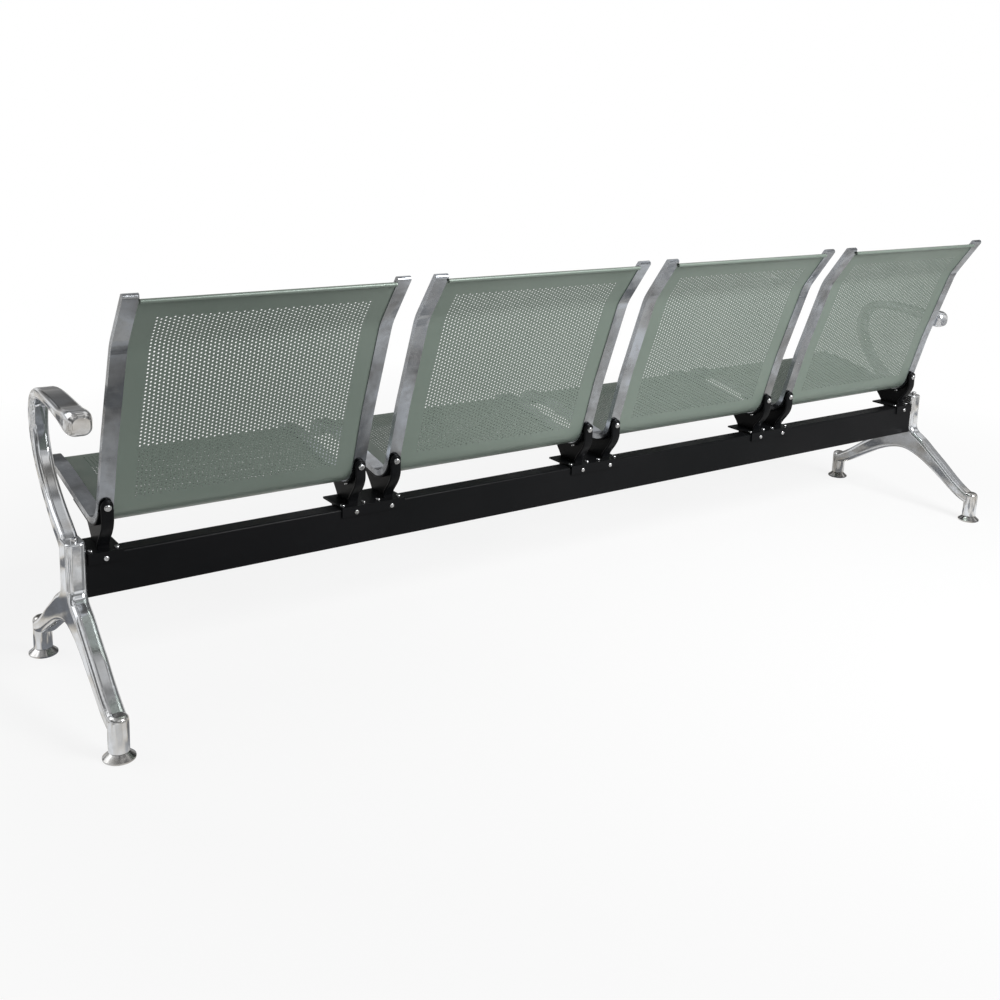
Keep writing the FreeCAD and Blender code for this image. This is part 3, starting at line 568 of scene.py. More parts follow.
def place_copy(master: bpy.types.Mesh, name: str, middle: float) -> bpy.types.Object:
    """Put a copy of a mesh into the scene.

    Args:
        master: a mesh in the middle of the bench.
        name: the new piece's name.
        middle: how far along the beam the copy lies.

    Returns:
        The piece, with its place in its mesh.
    """
    mesh = master.copy()
    mesh.transform(Matrix.Translation((middle * METRE, 0.0, 0.0)))
    return link(name, mesh)


def square_to(heading: Vector) -> Vector:
    """Unit direction square to a heading of the side view, on the side away from the sitter."""
    return Vector((heading.y, -heading.x)).normalized()


@dataclass
class SeatLine:
    """Side outline that sheet and strips follow, from the front lip to the upper end of the back.

    A corner is y, z and the radius that rounds it. Its y is measured from the middle of the beam, which
    lies beam_shift behind the origin, and its z from the floor.
    """

    beam_shift: float = 36.0
    lip_low: tuple[float, float] = (-328.0, 344.0)
    lip: tuple[float, float, float] = (-322.0, 383.0, 30.0)
    pan: tuple[float, float, float] = (-235.0, 377.0, 400.0)
    bend: tuple[float, float, float] = (12.0, 331.0, 50.0)
    lumbar: tuple[float, float, float] = (62.0, 500.0, 500.0)
    neck: tuple[float, float, float] = (131.0, 690.0, 110.0)
    crown: tuple[float, float] = (197.0, 781.0)
    end_trim: float = 5.0
    curl_radius: float = 7.2
    curl_turn: float = 285.0
    longest_step: float = 6.0
    widest_turn: float = 6.0
    points: list[Vector] = field(default_factory=list)
    curl_length: float = 0.0

    def build(self) -> None:
        """Work out the line's points, with the rolled edges at both ends."""
        turns = (self.lip, self.pan, self.bend, self.lumbar, self.neck)
        corners = [Vector(point[:2]) for point in (self.lip_low, *turns, self.crown)]
        corners[0] += (corners[1] - corners[0]).normalized() * self.end_trim
        corners[-1] += (corners[-2] - corners[-1]).normalized() * self.end_trim
        line = [corners[0]]
        for before, corner, after, turn in zip(corners, corners[1:], corners[2:], turns):
            line += self.rounded(before, corner, after, turn[2])
        line.append(corners[-1])
        line = self.divided(line)
        front_curl = self.curl(line[0], line[0] - line[1], 1.0)
        top_curl = self.curl(line[-1], line[-1] - line[-2], -1.0)
        self.points = front_curl[::-1] + line + top_curl
        self.curl_length = self.length([line[0], *front_curl])

    def rounded(self, before: Vector, corner: Vector, after: Vector, radius: float) -> list[Vector]:
        """Points of the arc that rounds one corner.

        Args:
            before: the corner before it.
            corner: the corner.
            after: the corner after it.
            radius: the round's radius.

        Returns:
            The arc's points, in order.
        """
        arriving = (corner - before).normalized()
        leaving = (after - corner).normalized()
        turn = math.atan2(arriving.x * leaving.y - arriving.y * leaving.x, arriving.dot(leaving))
        start = corner - arriving * (radius * math.tan(abs(turn) / 2))
        return [start, *self.arc(start, arriving, radius, turn)]

    def arc(self, start: Vector, heading: Vector, radius: float, turn: float) -> list[Vector]:
        """Points along an arc, without its start.

        Args:
            start: where it begins.
            heading: unit direction there.
            radius: its radius.
            turn: its angle, positive to the left.

        Returns:
            The points, in order.
        """
        aside = Vector((-heading.y, heading.x)) * math.copysign(radius, turn)
        centre = start + aside
        by_length = abs(turn) * radius / self.longest_step
        by_angle = math.degrees(abs(turn)) / self.widest_turn
        steps = max(2, math.ceil(max(by_length, by_angle)))
        return [centre + Matrix.Rotation(turn * step / steps, 2) @ -aside for step in range(1, steps + 1)]

    def curl(self, start: Vector, away: Vector, hand: float) -> list[Vector]:
        """Points of a rolled edge, from the sheet to its free end."""
        turn = math.radians(self.curl_turn) * hand
        return self.arc(start, away.normalized(), self.curl_radius, turn)

    def divided(self, line: list[Vector]) -> list[Vector]:
        """The same line, with points added on its long straight stretches."""
        dense = [line[0]]
        for start, end in zip(line, line[1:]):
            steps = max(1, math.ceil((end - start).length / self.longest_step))
            dense += [start.lerp(end, step / steps) for step in range(1, steps + 1)]
        return dense

    def length(self, line: list[Vector]) -> float:
        """Length of a line of points."""
        return sum((end - start).length for start, end in zip(line, line[1:]))

    def distances(self) -> list[float]:
        """How far along the line each point is."""
        travelled = [0.0]
        for start, end in zip(self.points, self.points[1:]):
            travelled.append(travelled[-1] + (end - start).length)
        return travelled

    def distance_where(self, reached: Callable[[Vector], bool]) -> float:
        """Distance along the line of the first point outside the front roll that passes a test.

        Args:
            reached: function of a point (y, z).

        Returns:
            The distance from the front roll's free end.
        """
        for distance, point in zip(self.distances(), self.points):
            if distance > self.curl_length and reached(point):
                return distance
        raise ValueError("no point of the seat line passes the test")

    def bend_span(self) -> tuple[float, float]:
        """Distances along the line at which the bend between pan and back starts and ends."""
        before, corner, after = (Vector(point[:2]) for point in (self.pan, self.bend, self.lumbar))
        arc = self.rounded(before, corner, after, self.bend[2])
        travelled = self.distances()
        marks = []
        for end in (arc[0], arc[-1]):
            nearest = min(range(len(self.points)), key=lambda number: (self.points[number] - end).length)
            marks.append(travelled[nearest])
        return marks[0], marks[1]

    def below(self, distance: float, depth: float) -> Vector:
        """A point beside the line, on the side away from the sitter.

        Args:
            distance: how far along the line.
            depth: how far from it.

        Returns:
            The point (y, z).
        """
        travelled = self.distances()
        number = max(index for index, value in enumerate(travelled[:-1]) if value <= distance)
        start, end = self.points[number], self.points[number + 1]
        share = (distance - travelled[number]) / (travelled[number + 1] - travelled[number])
        return start.lerp(end, share) + square_to(end - start) * depth

    def as_curve(self) -> bpy.types.Object:
        """The line as a curve in the scene, in the middle of a seat."""
        curve = bpy.data.curves.new("seat_line", "CURVE")
        curve.dimensions = "3D"
        spline = curve.splines.new("POLY")
        spline.points.add(len(self.points) - 1)
        for target, point in zip(spline.points, self.points):
            target.co = (0.0, (point.x + self.beam_shift) * METRE, point.y * METRE, 1.0)
        return link("seat_line", curve)


@dataclass
class HoleField:
    """A staggered field of round holes on the flat sheet."""

    columns: int = 53
    column_step: float = 7.7
    row_step: float = 7.6
    hole: float = 3.7
    hole_sides: int = 8
    inside_share: float = 0.9

    def half_width(self) -> float:
        """Half the field's width."""
        return self.columns * self.column_step / 2

    def rows_between(self, start: float, end: float) -> int:
        """How many rows fit between two distances along the sheet."""
        return int((end - start) / self.row_step)

    def cell(self, with_hole: bool) -> bpy.types.Object:
        """One flat cell of the field.

        Args:
            with_hole: False for the plain half cell that ends a shifted column.

        Returns:
            The cell, with its middle at the origin.
        """
        half_x = self.column_step / 2 * METRE
        half_y = self.row_step / (2 if with_hole else 4) * METRE
        outline = [(half_x, -half_y), (half_x, half_y), (-half_x, half_y), (-half_x, -half_y)]
        mesh = bmesh.new()
        if with_hole:
            outline = [(half_x, -half_y), (half_x, 0.0), (half_x, half_y),
                       (-half_x, half_y), (-half_x, 0.0), (-half_x, -half_y)]
            self.ring(mesh, outline)
        else:
            mesh.faces.new([mesh.verts.new((x, y, 0.0)) for x, y in outline])
        return link("cell", taken_from(mesh, "cell"))

    def ring(self, mesh: bmesh.types.BMesh, outline: list[tuple[float, float]]) -> None:
        """Fill between a cell's outline and its hole.

        Args:
            mesh: the mesh to add to.
            outline: the cell's outer points, anticlockwise.
        """
        # The polygon gets as much area as the round hole has.
        area_match = math.sqrt(2 * math.pi / self.hole_sides / math.sin(2 * math.pi / self.hole_sides))
        radius = self.hole / 2 * area_match * METRE
        rim = []
        for number in range(self.hole_sides):
            angle = 2 * math.pi * (number + 0.5) / self.hole_sides
            rim.append(mesh.verts.new((radius * math.cos(angle), radius * math.sin(angle), 0.0)))
        outer = [mesh.verts.new((x, y, 0.0)) for x, y in outline]
        edges = [mesh.edges.new(pair) for loop in (rim, outer) for pair in zip(loop, loop[1:] + loop[:1])]
        made = bmesh.ops.triangle_fill(mesh, use_beauty=True, use_dissolve=False, edges=edges)
        faces = [part for part in made["geom"] if isinstance(part, bmesh.types.BMFace)]
        inside = [face for face in faces if face.calc_center_median().length < radius * self.inside_share]
        bmesh.ops.delete(mesh, geom=inside, context="FACES_ONLY")
        for face in mesh.faces:
            face.normal_update()
            if face.normal.z < 0:
                face.normal_flip()


@dataclass(frozen=True)
class SheetHalf:
    """One half of a seat sheet, by distances along the seat line."""

    stretch: Stretch
    start: float
    end: float
    field_start: float
    field_end: float
    rows: int


@dataclass
class SeatSheets:
    """The perforated one-piece sheets with their rolled edges, made as a pan and a back for each seat.

    A sheet is drawn thinner than it is, so that its holes look as open from aside as they do in the
    photograph.
    """

    panel_width: float = 492.0
    rolled_width: float = 477.6
    thickness: float = 1.2
    set_back: float = 3.5
    pan_field: tuple[float, float] = (-288.0, -24.0)
    back_field: tuple[float, float] = (381.0, 742.0)
    split_y: float = 12.0
    side_divisions: int = 3
    break_digits: int = 6
    cell_weld: float = 0.1
    face_weld: float = 0.02
    line: SeatLine = field(default_factory=SeatLine)
    holes: HoleField = field(default_factory=HoleField)

    def build(self, finishes: Finishes) -> None:
        """Build and dress all the sheets.

        Args:
            finishes: the finishes.
        """
        self.line.build()
        shapes = {
            "Path": self.line.as_curve(), "Cell": self.holes.cell(True), "Half Cell": self.holes.cell(False),
        }
        tree = self.perforated_sheet_tree()
        for half in self.halves():
            master = self.wrapped(tree, half, shapes, finishes)
            for seat in SEATS:
                piece = place_copy(master, f"seat_{seat}_{half.stretch.value}", seat_middle(seat))
                finish_piece(piece, BENCH, [f"seat_sheet_{seat}"])
            bpy.data.meshes.remove(master)
        for spare in shapes.values():
            bpy.data.objects.remove(spare)

    def halves(self) -> list[SheetHalf]:
        """The pan and the back, each with as many rows of holes as fit into its field."""
        where = self.line.distance_where
        split = where(lambda point: point.x > self.split_y)
        pan = [where(lambda point: point.x > limit) for limit in self.pan_field]
        back = [where(lambda point: point.x > 0 and point.y > limit) for limit in self.back_field]
        halves = []
        for stretch, start, end, (field_start, field_limit) in (
            (Stretch.PAN, 0.0, split, pan),
            (Stretch.BACK, split, self.line.distances()[-1], back),
        ):
            rows = self.holes.rows_between(field_start, field_limit)
            field_end = field_start + rows * self.holes.row_step
            halves.append(SheetHalf(stretch, start, end, field_start, field_end, rows))
        return halves

    def along_breaks(self, half: SheetHalf) -> list[float]:
        """Distances along the sheet at which its faces end.

        Args:
            half: which half of the sheet.

        Returns:
            The distances, in order.
        """
        step = self.holes.row_step / 2
        beside_field = [half.field_start + step * number for number in range(2 * half.rows + 1)]
        bends = [value for value in self.line.distances()
                 if half.start <= value <= half.end
                 and not half.field_start - step / 2 < value < half.field_end + step / 2]
        breaks = bends + beside_field + [half.start, half.end]
        return sorted({round(value, self.break_digits) for value in breaks})

    def across_breaks(self) -> list[float]:
        """Distances across the sheet at which its faces end."""
        half_field = self.holes.half_width()
        half_roll = self.rolled_width / 2
        margin = [half_field + (half_roll - half_field) * step / self.side_divisions
                  for step in range(1, self.side_divisions + 1)] + [self.panel_width / 2]
        inner = [-half_field + self.holes.column_step * number for number in range(self.holes.columns + 1)]
        return [-value for value in margin[::-1]] + inner + margin

    def plain_parts(self, half: SheetHalf) -> bpy.types.Object:
        """The flat sheet without its field of holes.

        Args:
            half: which half of the sheet.

        Returns:
            A flat object, with X across the seat and Y along the seat line.
        """
        across = self.across_breaks()
        along = self.along_breaks(half)
        roll_starts = self.line.curl_length
        roll_ends = self.line.distances()[-1] - roll_starts
        mesh = bmesh.new()
        corners: dict[tuple[float, float], bmesh.types.BMVert] = {}
        for low, high in zip(along, along[1:]):
            middle = (low + high) / 2
            rolled = middle < roll_starts or middle > roll_ends
            for left, right in zip(across, across[1:]):
                aside = abs(left + right) / 2
                in_field = aside < self.holes.half_width() and half.field_start < middle < half.field_end
                if in_field or (rolled and aside > self.rolled_width / 2):
                    continue
                quad = [(left, low), (right, low), (right, high), (left, high)]
                for place in quad:
                    if place not in corners:
                        corners[place] = mesh.verts.new((place[0] * METRE, place[1] * METRE, 0.0))
                mesh.faces.new([corners[place] for place in quad])
        return link("flat_sheet", taken_from(mesh, "flat_sheet"))

    def wrapped(self, tree: bpy.types.NodeTree, half: SheetHalf, shapes: dict[str, bpy.types.Object],
                finishes: Finishes) -> bpy.types.Mesh:
        """Run the tree on a flat sheet and take its result.

        Args:
            tree: the perforating and wrapping tree.
            half: which half of the sheet.
            shapes: the seat line and the two cells, by the tree's input names.
            finishes: the finishes.

        Returns:
            The finished mesh, in the middle of the bench.
        """
        flat = self.plain_parts(half)
        mesh = run_tree(flat, tree, {
            **shapes,
            "Columns": self.holes.columns, "Rows": half.rows,
            "Column Step": self.holes.column_step * METRE, "Row Step": self.holes.row_step * METRE,
            "Field Start": half.field_start * METRE, "Thickness": self.thickness * METRE,
            "Set Back": self.set_back * METRE, "Finish": finishes.ready["seat_steel"],
        })
        bpy.data.objects.remove(flat)
        smooth(mesh)
        return mesh

    def perforated_sheet_tree(self) -> bpy.types.NodeTree:
        """Tree that fills a flat sheet's field with staggered holes and wraps it along the seat line."""
        graph = Graph(bpy.data.node_groups.new("perforated_sheet", "GeometryNodeTree"))
        graph.socket("Geometry", "NodeSocketGeometry")
        for name in ("Path", "Cell", "Half Cell"):
            graph.socket(name, "NodeSocketObject")
        for name in ("Columns", "Rows"):
            graph.socket(name, "NodeSocketInt", value=1)
        for name in ("Column Step", "Row Step", "Field Start", "Thickness", "Set Back"):
            graph.socket(name, "NodeSocketFloat", value=METRE)
        graph.socket("Finish", "NodeSocketMaterial")
        graph.socket("Geometry", "NodeSocketGeometry", output=True)
        given = graph.add("NodeGroupInput").outputs
        half_height = graph.sum("MULTIPLY", graph.sum("MULTIPLY", given["Rows"], given["Row Step"]), 0.5)
        middle = graph.add("ShaderNodeCombineXYZ", {"Y": graph.sum("ADD", given["Field Start"], half_height)})
        join = graph.add("GeometryNodeJoinGeometry", {0: given["Geometry"]})
        for shape, columns, rows, width, height in self.hole_layouts(graph, given):
            grid = graph.add("GeometryNodeMeshGrid", {
                "Size X": width, "Size Y": height, "Vertices X": columns, "Vertices Y": rows,
            })
            moved = graph.add("GeometryNodeTransform", {
                "Geometry": grid.outputs["Mesh"], "Translation": middle.outputs[0],
            })
            tile = graph.add("GeometryNodeObjectInfo", {"Object": given[shape]})
            placed = graph.add("GeometryNodeInstanceOnPoints", {
                "Points": moved.outputs[0], "Instance": tile.outputs["Geometry"],
            })
            graph.feed(join, {0: placed.outputs[0]})
        real = graph.add("GeometryNodeRealizeInstances", {"Geometry": join.outputs[0]})
        welded = graph.add("GeometryNodeMergeByDistance", {
            "Geometry": real.outputs[0], "Distance": self.cell_weld * METRE,
        })
        graph.add("NodeGroupOutput", {0: self.wrap(graph, welded.outputs[0], given)})
        return graph.tree

    def hole_layouts(self, graph: Graph, given: bpy.types.bpy_prop_collection) -> tuple[tuple, ...]:
        """Add the sums for the grids of cells: straight columns, shifted ones between them, and their ends.

        Args:
            graph: the tree's graph.
            given: the tree's inputs.

        Returns:
            For each grid: the cell's input name, columns, rows, width and height.
        """
        def spanned(step: str, count: str, fewer: float) -> bpy.types.NodeSocket:
            """Length of a count of steps, less a few of them."""
            return graph.sum("MULTIPLY", given[step], graph.sum("SUBTRACT", given[count], fewer))

        columns = graph.sum("DIVIDE", graph.sum("ADD", given["Columns"], 1.0), 2.0)
        shifted_columns = graph.sum("SUBTRACT", columns, 1.0)
        shifted_rows = graph.sum("SUBTRACT", given["Rows"], 1.0)
        shifted_width = spanned("Column Step", "Columns", 3.0)
        return (
            ("Cell", columns, given["Rows"], spanned("Column Step", "Columns", 1.0),
             spanned("Row Step", "Rows", 1.0)),
            ("Cell", shifted_columns, shifted_rows, shifted_width, spanned("Row Step", "Rows", 2.0)),
            ("Half Cell", shifted_columns, 2, shifted_width, spanned("Row Step", "Rows", 0.5)),
        )

    def wrap(self, graph: Graph, flat: bpy.types.NodeSocket,
             given: bpy.types.bpy_prop_collection) -> bpy.types.NodeSocket:
        """Add the nodes that lay the flat sheet on the seat line and give it its thickness.

        Args:
            graph: the tree's graph.
            flat: the flat geometry.
            given: the tree's inputs.

        Returns:
            The finished geometry's socket.
        """
        position = graph.add("GeometryNodeInputPosition").outputs[0]
        place = graph.add("ShaderNodeSeparateXYZ", {"Vector": position}).outputs
        line = graph.add("GeometryNodeObjectInfo", {"Object": given["Path"]})
        sample = graph.add("GeometryNodeSampleCurve", {
            "Curves": line.outputs["Geometry"], "Length": place["Y"],
        }, mode="LENGTH", use_all_curves=True).outputs
        across = graph.vectors("CROSS_PRODUCT", {0: (1.0, 0.0, 0.0), 1: sample["Tangent"]})
        depth = graph.sum("SUBTRACT", graph.sum("MULTIPLY", given["Thickness"], -0.5), given["Set Back"])
        sunk = graph.vectors("SCALE", {0: across.outputs[0], "Scale": depth})
        on_line = graph.vectors("ADD", {0: sample["Position"], 1: sunk.outputs[0]})
        sideways = graph.add("ShaderNodeCombineXYZ", {"X": place["X"]})
        laid = graph.vectors("ADD", {0: on_line.outputs[0], 1: sideways.outputs[0]})
        wrapped = graph.add("GeometryNodeSetPosition", {"Geometry": flat, "Position": laid.outputs[0]})
        raised = graph.add("GeometryNodeExtrudeMesh", {
            "Mesh": wrapped.outputs[0], "Offset Scale": given["Thickness"], "Individual": False,
        }, mode="FACES")
        flipped = graph.add("GeometryNodeFlipFaces", {"Mesh": wrapped.outputs[0]})
        both = graph.add("GeometryNodeJoinGeometry", {0: raised.outputs["Mesh"]})
        graph.feed(both, {0: flipped.outputs[0]})
        closed = graph.add("GeometryNodeMergeByDistance", {
            "Geometry": both.outputs[0], "Distance": self.face_weld * METRE,
        })
        real = graph.add("GeometryNodeRealizeInstances", {"Geometry": closed.outputs[0]})
        return graph.add("GeometryNodeSetMaterial", {
            "Geometry": real.outputs[0], "Material": given["Finish"],
        }).outputs[0]


def run_tree(piece: bpy.types.Object, tree: bpy.types.NodeTree, values: dict[str, object]) -> bpy.types.Mesh:
    """Run a geometry tree on an object and return its result as a plain mesh.

    Args:
        piece: the object whose geometry goes in.
        tree: the tree.
        values: the tree's inputs by name.

    Returns:
        The new mesh.
    """
    modifier = piece.modifiers.new(tree.name, "NODES")
    modifier.node_group = tree
    for item in tree.interface.items_tree:
        if item.in_out == "INPUT" and item.name in values:
            modifier[item.identifier] = values[item.name]
    bpy.context.view_layer.update()
    evaluated = piece.evaluated_get(bpy.context.evaluated_depsgraph_get())
    mesh = bpy.data.meshes.new_from_object(evaluated)
    piece.modifiers.remove(modifier)
    return mesh


@dataclass
class SideStrips:
    """The chromed flat strips at both edges of each seat."""

    seats: tuple[int, ...] = SEATS

    def build(self, finishes: Finishes) -> None:
        """Dress the strips."""
        finishes.dress([f"side_strip_{seat}_{side.value}" for seat in self.seats for side in Side],
                       "chromed_strip")


@dataclass(frozen=True)
class Section:
    """One cross-section of a swept bar: where it lies in the side view, and how wide it is."""

    inner: Vector
    outer: Vector
    half_width: float


@dataclass
class SeatBrackets:
    """The eight black brackets: a flange under the seat, a web, and a rounded arm that ends in an eye."""

    aside: float = 254.0
    strip_face: float = 6.2
    flange_thick: float = 4.0
    flange_half_width: float = 14.0
    flange_round: float = 1.0
    flange_overrun: float = 2.0
    web_thick: float = 5.0
    web_round: float = 0.8
    web_in_flange: float = 1.0
    web_in_arm: float = 0.3
    web_below_flange: float = 8.0
    arm_half_width: float = 11.5
    arm_thick: tuple[float, float] = (10.0, 5.0)
    arm_thins_over: float = 30.0
    arm_round: float = 4.5
    eye_rise: float = 8.0
    eye_radius: float = 12.0
    eye_angle: float = 84.0
    lug_drop: float = 13.0
    reach: float = 90.0
    rear_outline: tuple[tuple[float, float], ...] = (
        (42.2, 364.0), (41.2, 350.0), (36.5, 336.0), (27.5, 322.0), (16.5, 308.5), (9.3, 297.0), (8.0, 289.0),
    )
    sole: tuple[float, float] = (-57.0, 289.0)
    front_hollow: float = 5.0
    widest_round: float = 0.95
    deepest_round: float = 0.45
    step: float = 4.0
    eye_steps: int = 8
    spans: int = 6
    corner_steps: int = 4
    line: SeatLine = field(default_factory=SeatLine)

    def build(self, finishes: Finishes) -> None:
        """Build and place all the brackets.

        Args:
            finishes: the finishes.
        """
        self.line.build()
        bend_start, bend_end = self.line.bend_span()
        front = bend_start - self.reach
        eye = bend_end + self.eye_rise
        low = eye - self.lug_drop
        arm = self.eye_cap(eye) + self.arm(eye)
        mesh = bmesh.new()
        self.sweep(mesh, self.flange(front, low + self.flange_overrun), self.flange_round)
        self.sweep(mesh, arm, self.arm_round)
        self.web(mesh, front, low, arm)
        bmesh.ops.recalc_face_normals(mesh, faces=mesh.faces)
        master = taken_from(mesh, "bracket")
        master.materials.append(finishes.ready["black_steel"])
        smooth(master)
        for seat in SEATS:
            for side, hand in ((Side.LEFT, 1), (Side.RIGHT, -1)):
                middle = seat_middle(seat) + hand * self.aside
                piece = place_copy(master, f"formed_bracket_{seat}_{side.value}", middle)
                finish_piece(piece, BENCH, [f"bracket_{seat}_{side.value}"])
        bpy.data.meshes.remove(master)

    def steps_between(self, start: float, end: float) -> list[float]:
        """Even distances from start to end, with both of them."""
        count = math.ceil((end - start) / self.step)
        return [start + (end - start) * number / count for number in range(count + 1)]

    def flange(self, front: float, rear: float) -> list[Section]:
        """Sections of the flange that runs along the underside of the strip."""
        return [Section(self.line.below(place, self.strip_face),
                        self.line.below(place, self.strip_face + self.flange_thick),
                        self.flange_half_width) for place in self.steps_between(front, rear)]

    def eye_cap(self, eye: float) -> list[Section]:
        """Sections of the round upper end of the eye.

        Args:
            eye: distance of the eye along the seat line.

        Returns:
            The sections, from the top.
        """
        sections = []
        for number in range(self.eye_steps):
            angle = math.radians(self.eye_angle) * (1 - number / self.eye_steps)
            above = self.eye_radius * math.sin(angle)
            worn = max(0.0, self.arm_round - (self.eye_radius - above))
            depth = self.arm_thick[0] - self.arm_round + math.sqrt(self.arm_round ** 2 - worn ** 2)
            sections.append(Section(self.line.below(eye + above, self.strip_face),
                                    self.line.below(eye + above, self.strip_face + depth),
                                    self.arm_half_width * math.cos(angle)))
        return sections

    def arm(self, eye: float) -> list[Section]:
        """Sections of the arm, from the eye to the saddle plate.

        Args:
            eye: distance of the eye along the seat line.

        Returns:
            The sections, from the top.
        """
        thick, thin = self.arm_thick
        rear = self.smooth_line([
            self.line.below(eye + self.eye_rise, self.strip_face + thick),
            self.line.below(eye, self.strip_face + thick),
            *(Vector(place) for place in self.rear_outline),
        ])
        sections = []
        travelled = 0.0
        for before, here, after in zip([rear[0], *rear], rear, [*rear[1:], rear[-1]]):
            travelled += (here - before).length
            share = min(1.0, travelled / self.arm_thins_over)
            depth = thick + (thin - thick) * share * share * (3 - 2 * share)
            inward = square_to(after - before) * depth
            sections.append(Section(here + inward, here, self.arm_half_width))
        return sections

    def smooth_line(self, guides: list[Vector]) -> list[Vector]:
        """Smooth line through all guide points but the first, which only sets the direction.

        Args:
            guides: the guide points.

        Returns:
            The line's points.
        """
        ends = [*guides, guides[-1] * 2 - guides[-2]]
        line = []
        for before, start, end, after in zip(ends, ends[1:], ends[2:], ends[3:]):
            leaving, arriving = (end - before) / 2, (after - start) / 2
            for number in range(self.spans):
                share = number / self.spans
                square, cube = share ** 2, share ** 3
                line.append(start * (2 * cube - 3 * square + 1) + leaving * (cube - 2 * square + share)
                            + end * (3 * square - 2 * cube) + arriving * (cube - square))
        line.append(guides[-1])
        return line

    def sweep(self, mesh: bmesh.types.BMesh, sections: list[Section], radius: float) -> None:
        """Skin a bar over its sections, with rounded edges.

        Args:
            mesh: the mesh to add to.
            sections: the bar's sections, in order.
            radius: radius of its long edges.
        """
        rings = []
        for section in sections:
            depth = (section.outer - section.inner).length
            outward = (section.outer - section.inner).normalized()
            small = min(radius, section.half_width * self.widest_round, depth * self.deepest_round)
            ring = []
            for across, along in ((1, 1), (-1, 1), (-1, -1), (1, -1)):
                middle_x = across * (section.half_width - small)
                middle_depth = depth - small if along > 0 else small
                for number in range(self.corner_steps + 1):
                    angle = math.pi / 2 * number / self.corner_steps
                    turned = (math.cos(angle), math.sin(angle))
                    if across * along < 0:
                        turned = turned[::-1]
                    out = section.inner + outward * (middle_depth + along * small * turned[1])
                    ring.append(self.vertex(mesh, middle_x + across * small * turned[0], out))
            rings.append(ring)
        self.skin(mesh, rings)

    def web(self, mesh: bmesh.types.BMesh, front: float, low: float, arm: list[Section]) -> None:
        """Fill the web between flange, arm and saddle plate.

        Args:
            mesh: the mesh to add to.
            front: distance of the flange's front end along the seat line.
            low: distance at which the web leaves the flange.
            arm: the arm's sections.
        """
        buried = self.strip_face + self.web_in_flange
        outline = [self.line.below(place, buried) for place in self.steps_between(front, low)]
        highest = outline[-1].y - self.web_below_flange
        outline += [section.outer.lerp(section.inner, self.web_in_arm)
                    for section in arm if section.outer.y < highest]
        outline += self.front_edge(Vector(self.sole), outline[0])
        rings = []
        half = self.web_thick / 2
        for x, inset in ((half, self.web_round), (half - self.web_round, 0.0),
                         (self.web_round - half, 0.0), (-half, self.web_round)):
            neighbours = zip([outline[-1], *outline], outline, [*outline[1:], outline[0]])
            rings.append([self.vertex(mesh, x, here + square_to(after - before) * inset)
                          for before, here, after in neighbours])
        self.skin(mesh, rings)

    def front_edge(self, toe: Vector, tip: Vector) -> list[Vector]:
        """Hollow front edge of the web, without its upper end.

        Args:
            toe: its lower end.
            tip: its upper end.

        Returns:
            The points of a parabola that is deepest half way.
        """
        rise = tip - toe
        hollow = square_to(rise) * self.front_hollow
        shares = [number / (self.spans + 1) for number in range(self.spans + 1)]
        return [toe + rise * share + hollow * 4 * share * (1 - share) for share in shares]

    def skin(self, mesh: bmesh.types.BMesh, rings: list[list[bmesh.types.BMVert]]) -> None:
        """Join rings of points into a closed solid.

        Args:
            mesh: the mesh to add to.
            rings: the rings, in order, with the same number of points in each.
        """
        for ring, following in zip(rings, rings[1:]):
            for number, corner in enumerate(ring):
                beside = (number + 1) % len(ring)
                mesh.faces.new((corner, ring[beside], following[beside], following[number]))
        mesh.faces.new(rings[0])
        mesh.faces.new(rings[-1])

    def vertex(self, mesh: bmesh.types.BMesh, x: float, place: Vector) -> bmesh.types.BMVert:
        """Add a point given by its distance to the side and its place in the side view."""
        return mesh.verts.new((x * METRE, (place.x + self.line.beam_shift) * METRE, place.y * METRE))


@dataclass
class BeamAndBrackets:
    """The black rectangular beam with its saddle plates and seat brackets."""

    seats: tuple[int, ...] = SEATS
    bases: tuple[int, ...] = BASES
    brackets: SeatBrackets = field(default_factory=SeatBrackets)

    def build(self, finishes: Finishes) -> None:
        """Dress the beam, the saddle plates and all screws, and build the brackets."""
        plates = [f"bracket_base_{base}" for base in self.bases]
        finishes.dress(["beam", *plates], "black_steel")
        self.brackets.build(finishes)
        screws = [f"base_screws_{base}" for base in self.bases]
        screws += [f"seat_bolts_{seat}" for seat in self.seats]
        finishes.dress(screws, "bright_screw")


@dataclass
class Legs:
    """The two cast legs with their armrests, bolts and levelling feet."""

    sides: tuple[Side, ...] = tuple(Side)

    def build(self, finishes: Finishes) -> None:
        """Dress the castings, their bolts and the feet."""
        for side in self.sides:
            finishes.dress([f"leg_{side.value}", f"armrest_{side.value}"], "chromed_casting")
            finishes.dress([f"armrest_bolt_{side.value}", f"leg_bolts_{side.value}"], "bright_screw")
            for place in FootPlace:
                finishes.dress([f"foot_pad_{side.value}_{place.value}"], "chromed_foot")
                finishes.dress([f"foot_stud_{side.value}_{place.value}"], "bright_screw")


@dataclass(frozen=True)
class Lamp:
    """A square soft lamp. Place, target and width are metres."""

    name: str
    place: tuple[float, float, float]
    target: tuple[float, float, float]
    width: float
    spread: float
    watts: float

    def hang(self) -> None:
        """Put the lamp into the scene, turned to its target."""
        lamp = bpy.data.lights.new(self.name, "AREA")
        lamp.shape = "SQUARE"
        lamp.size = self.width
        lamp.spread = math.radians(self.spread)
        lamp.energy = self.watts
        hung = link(self.name, lamp)
        hung.location = self.place
        aim = Vector(self.target) - Vector(self.place)
        hung.rotation_euler = aim.to_track_quat("-Z", "Y").to_euler()


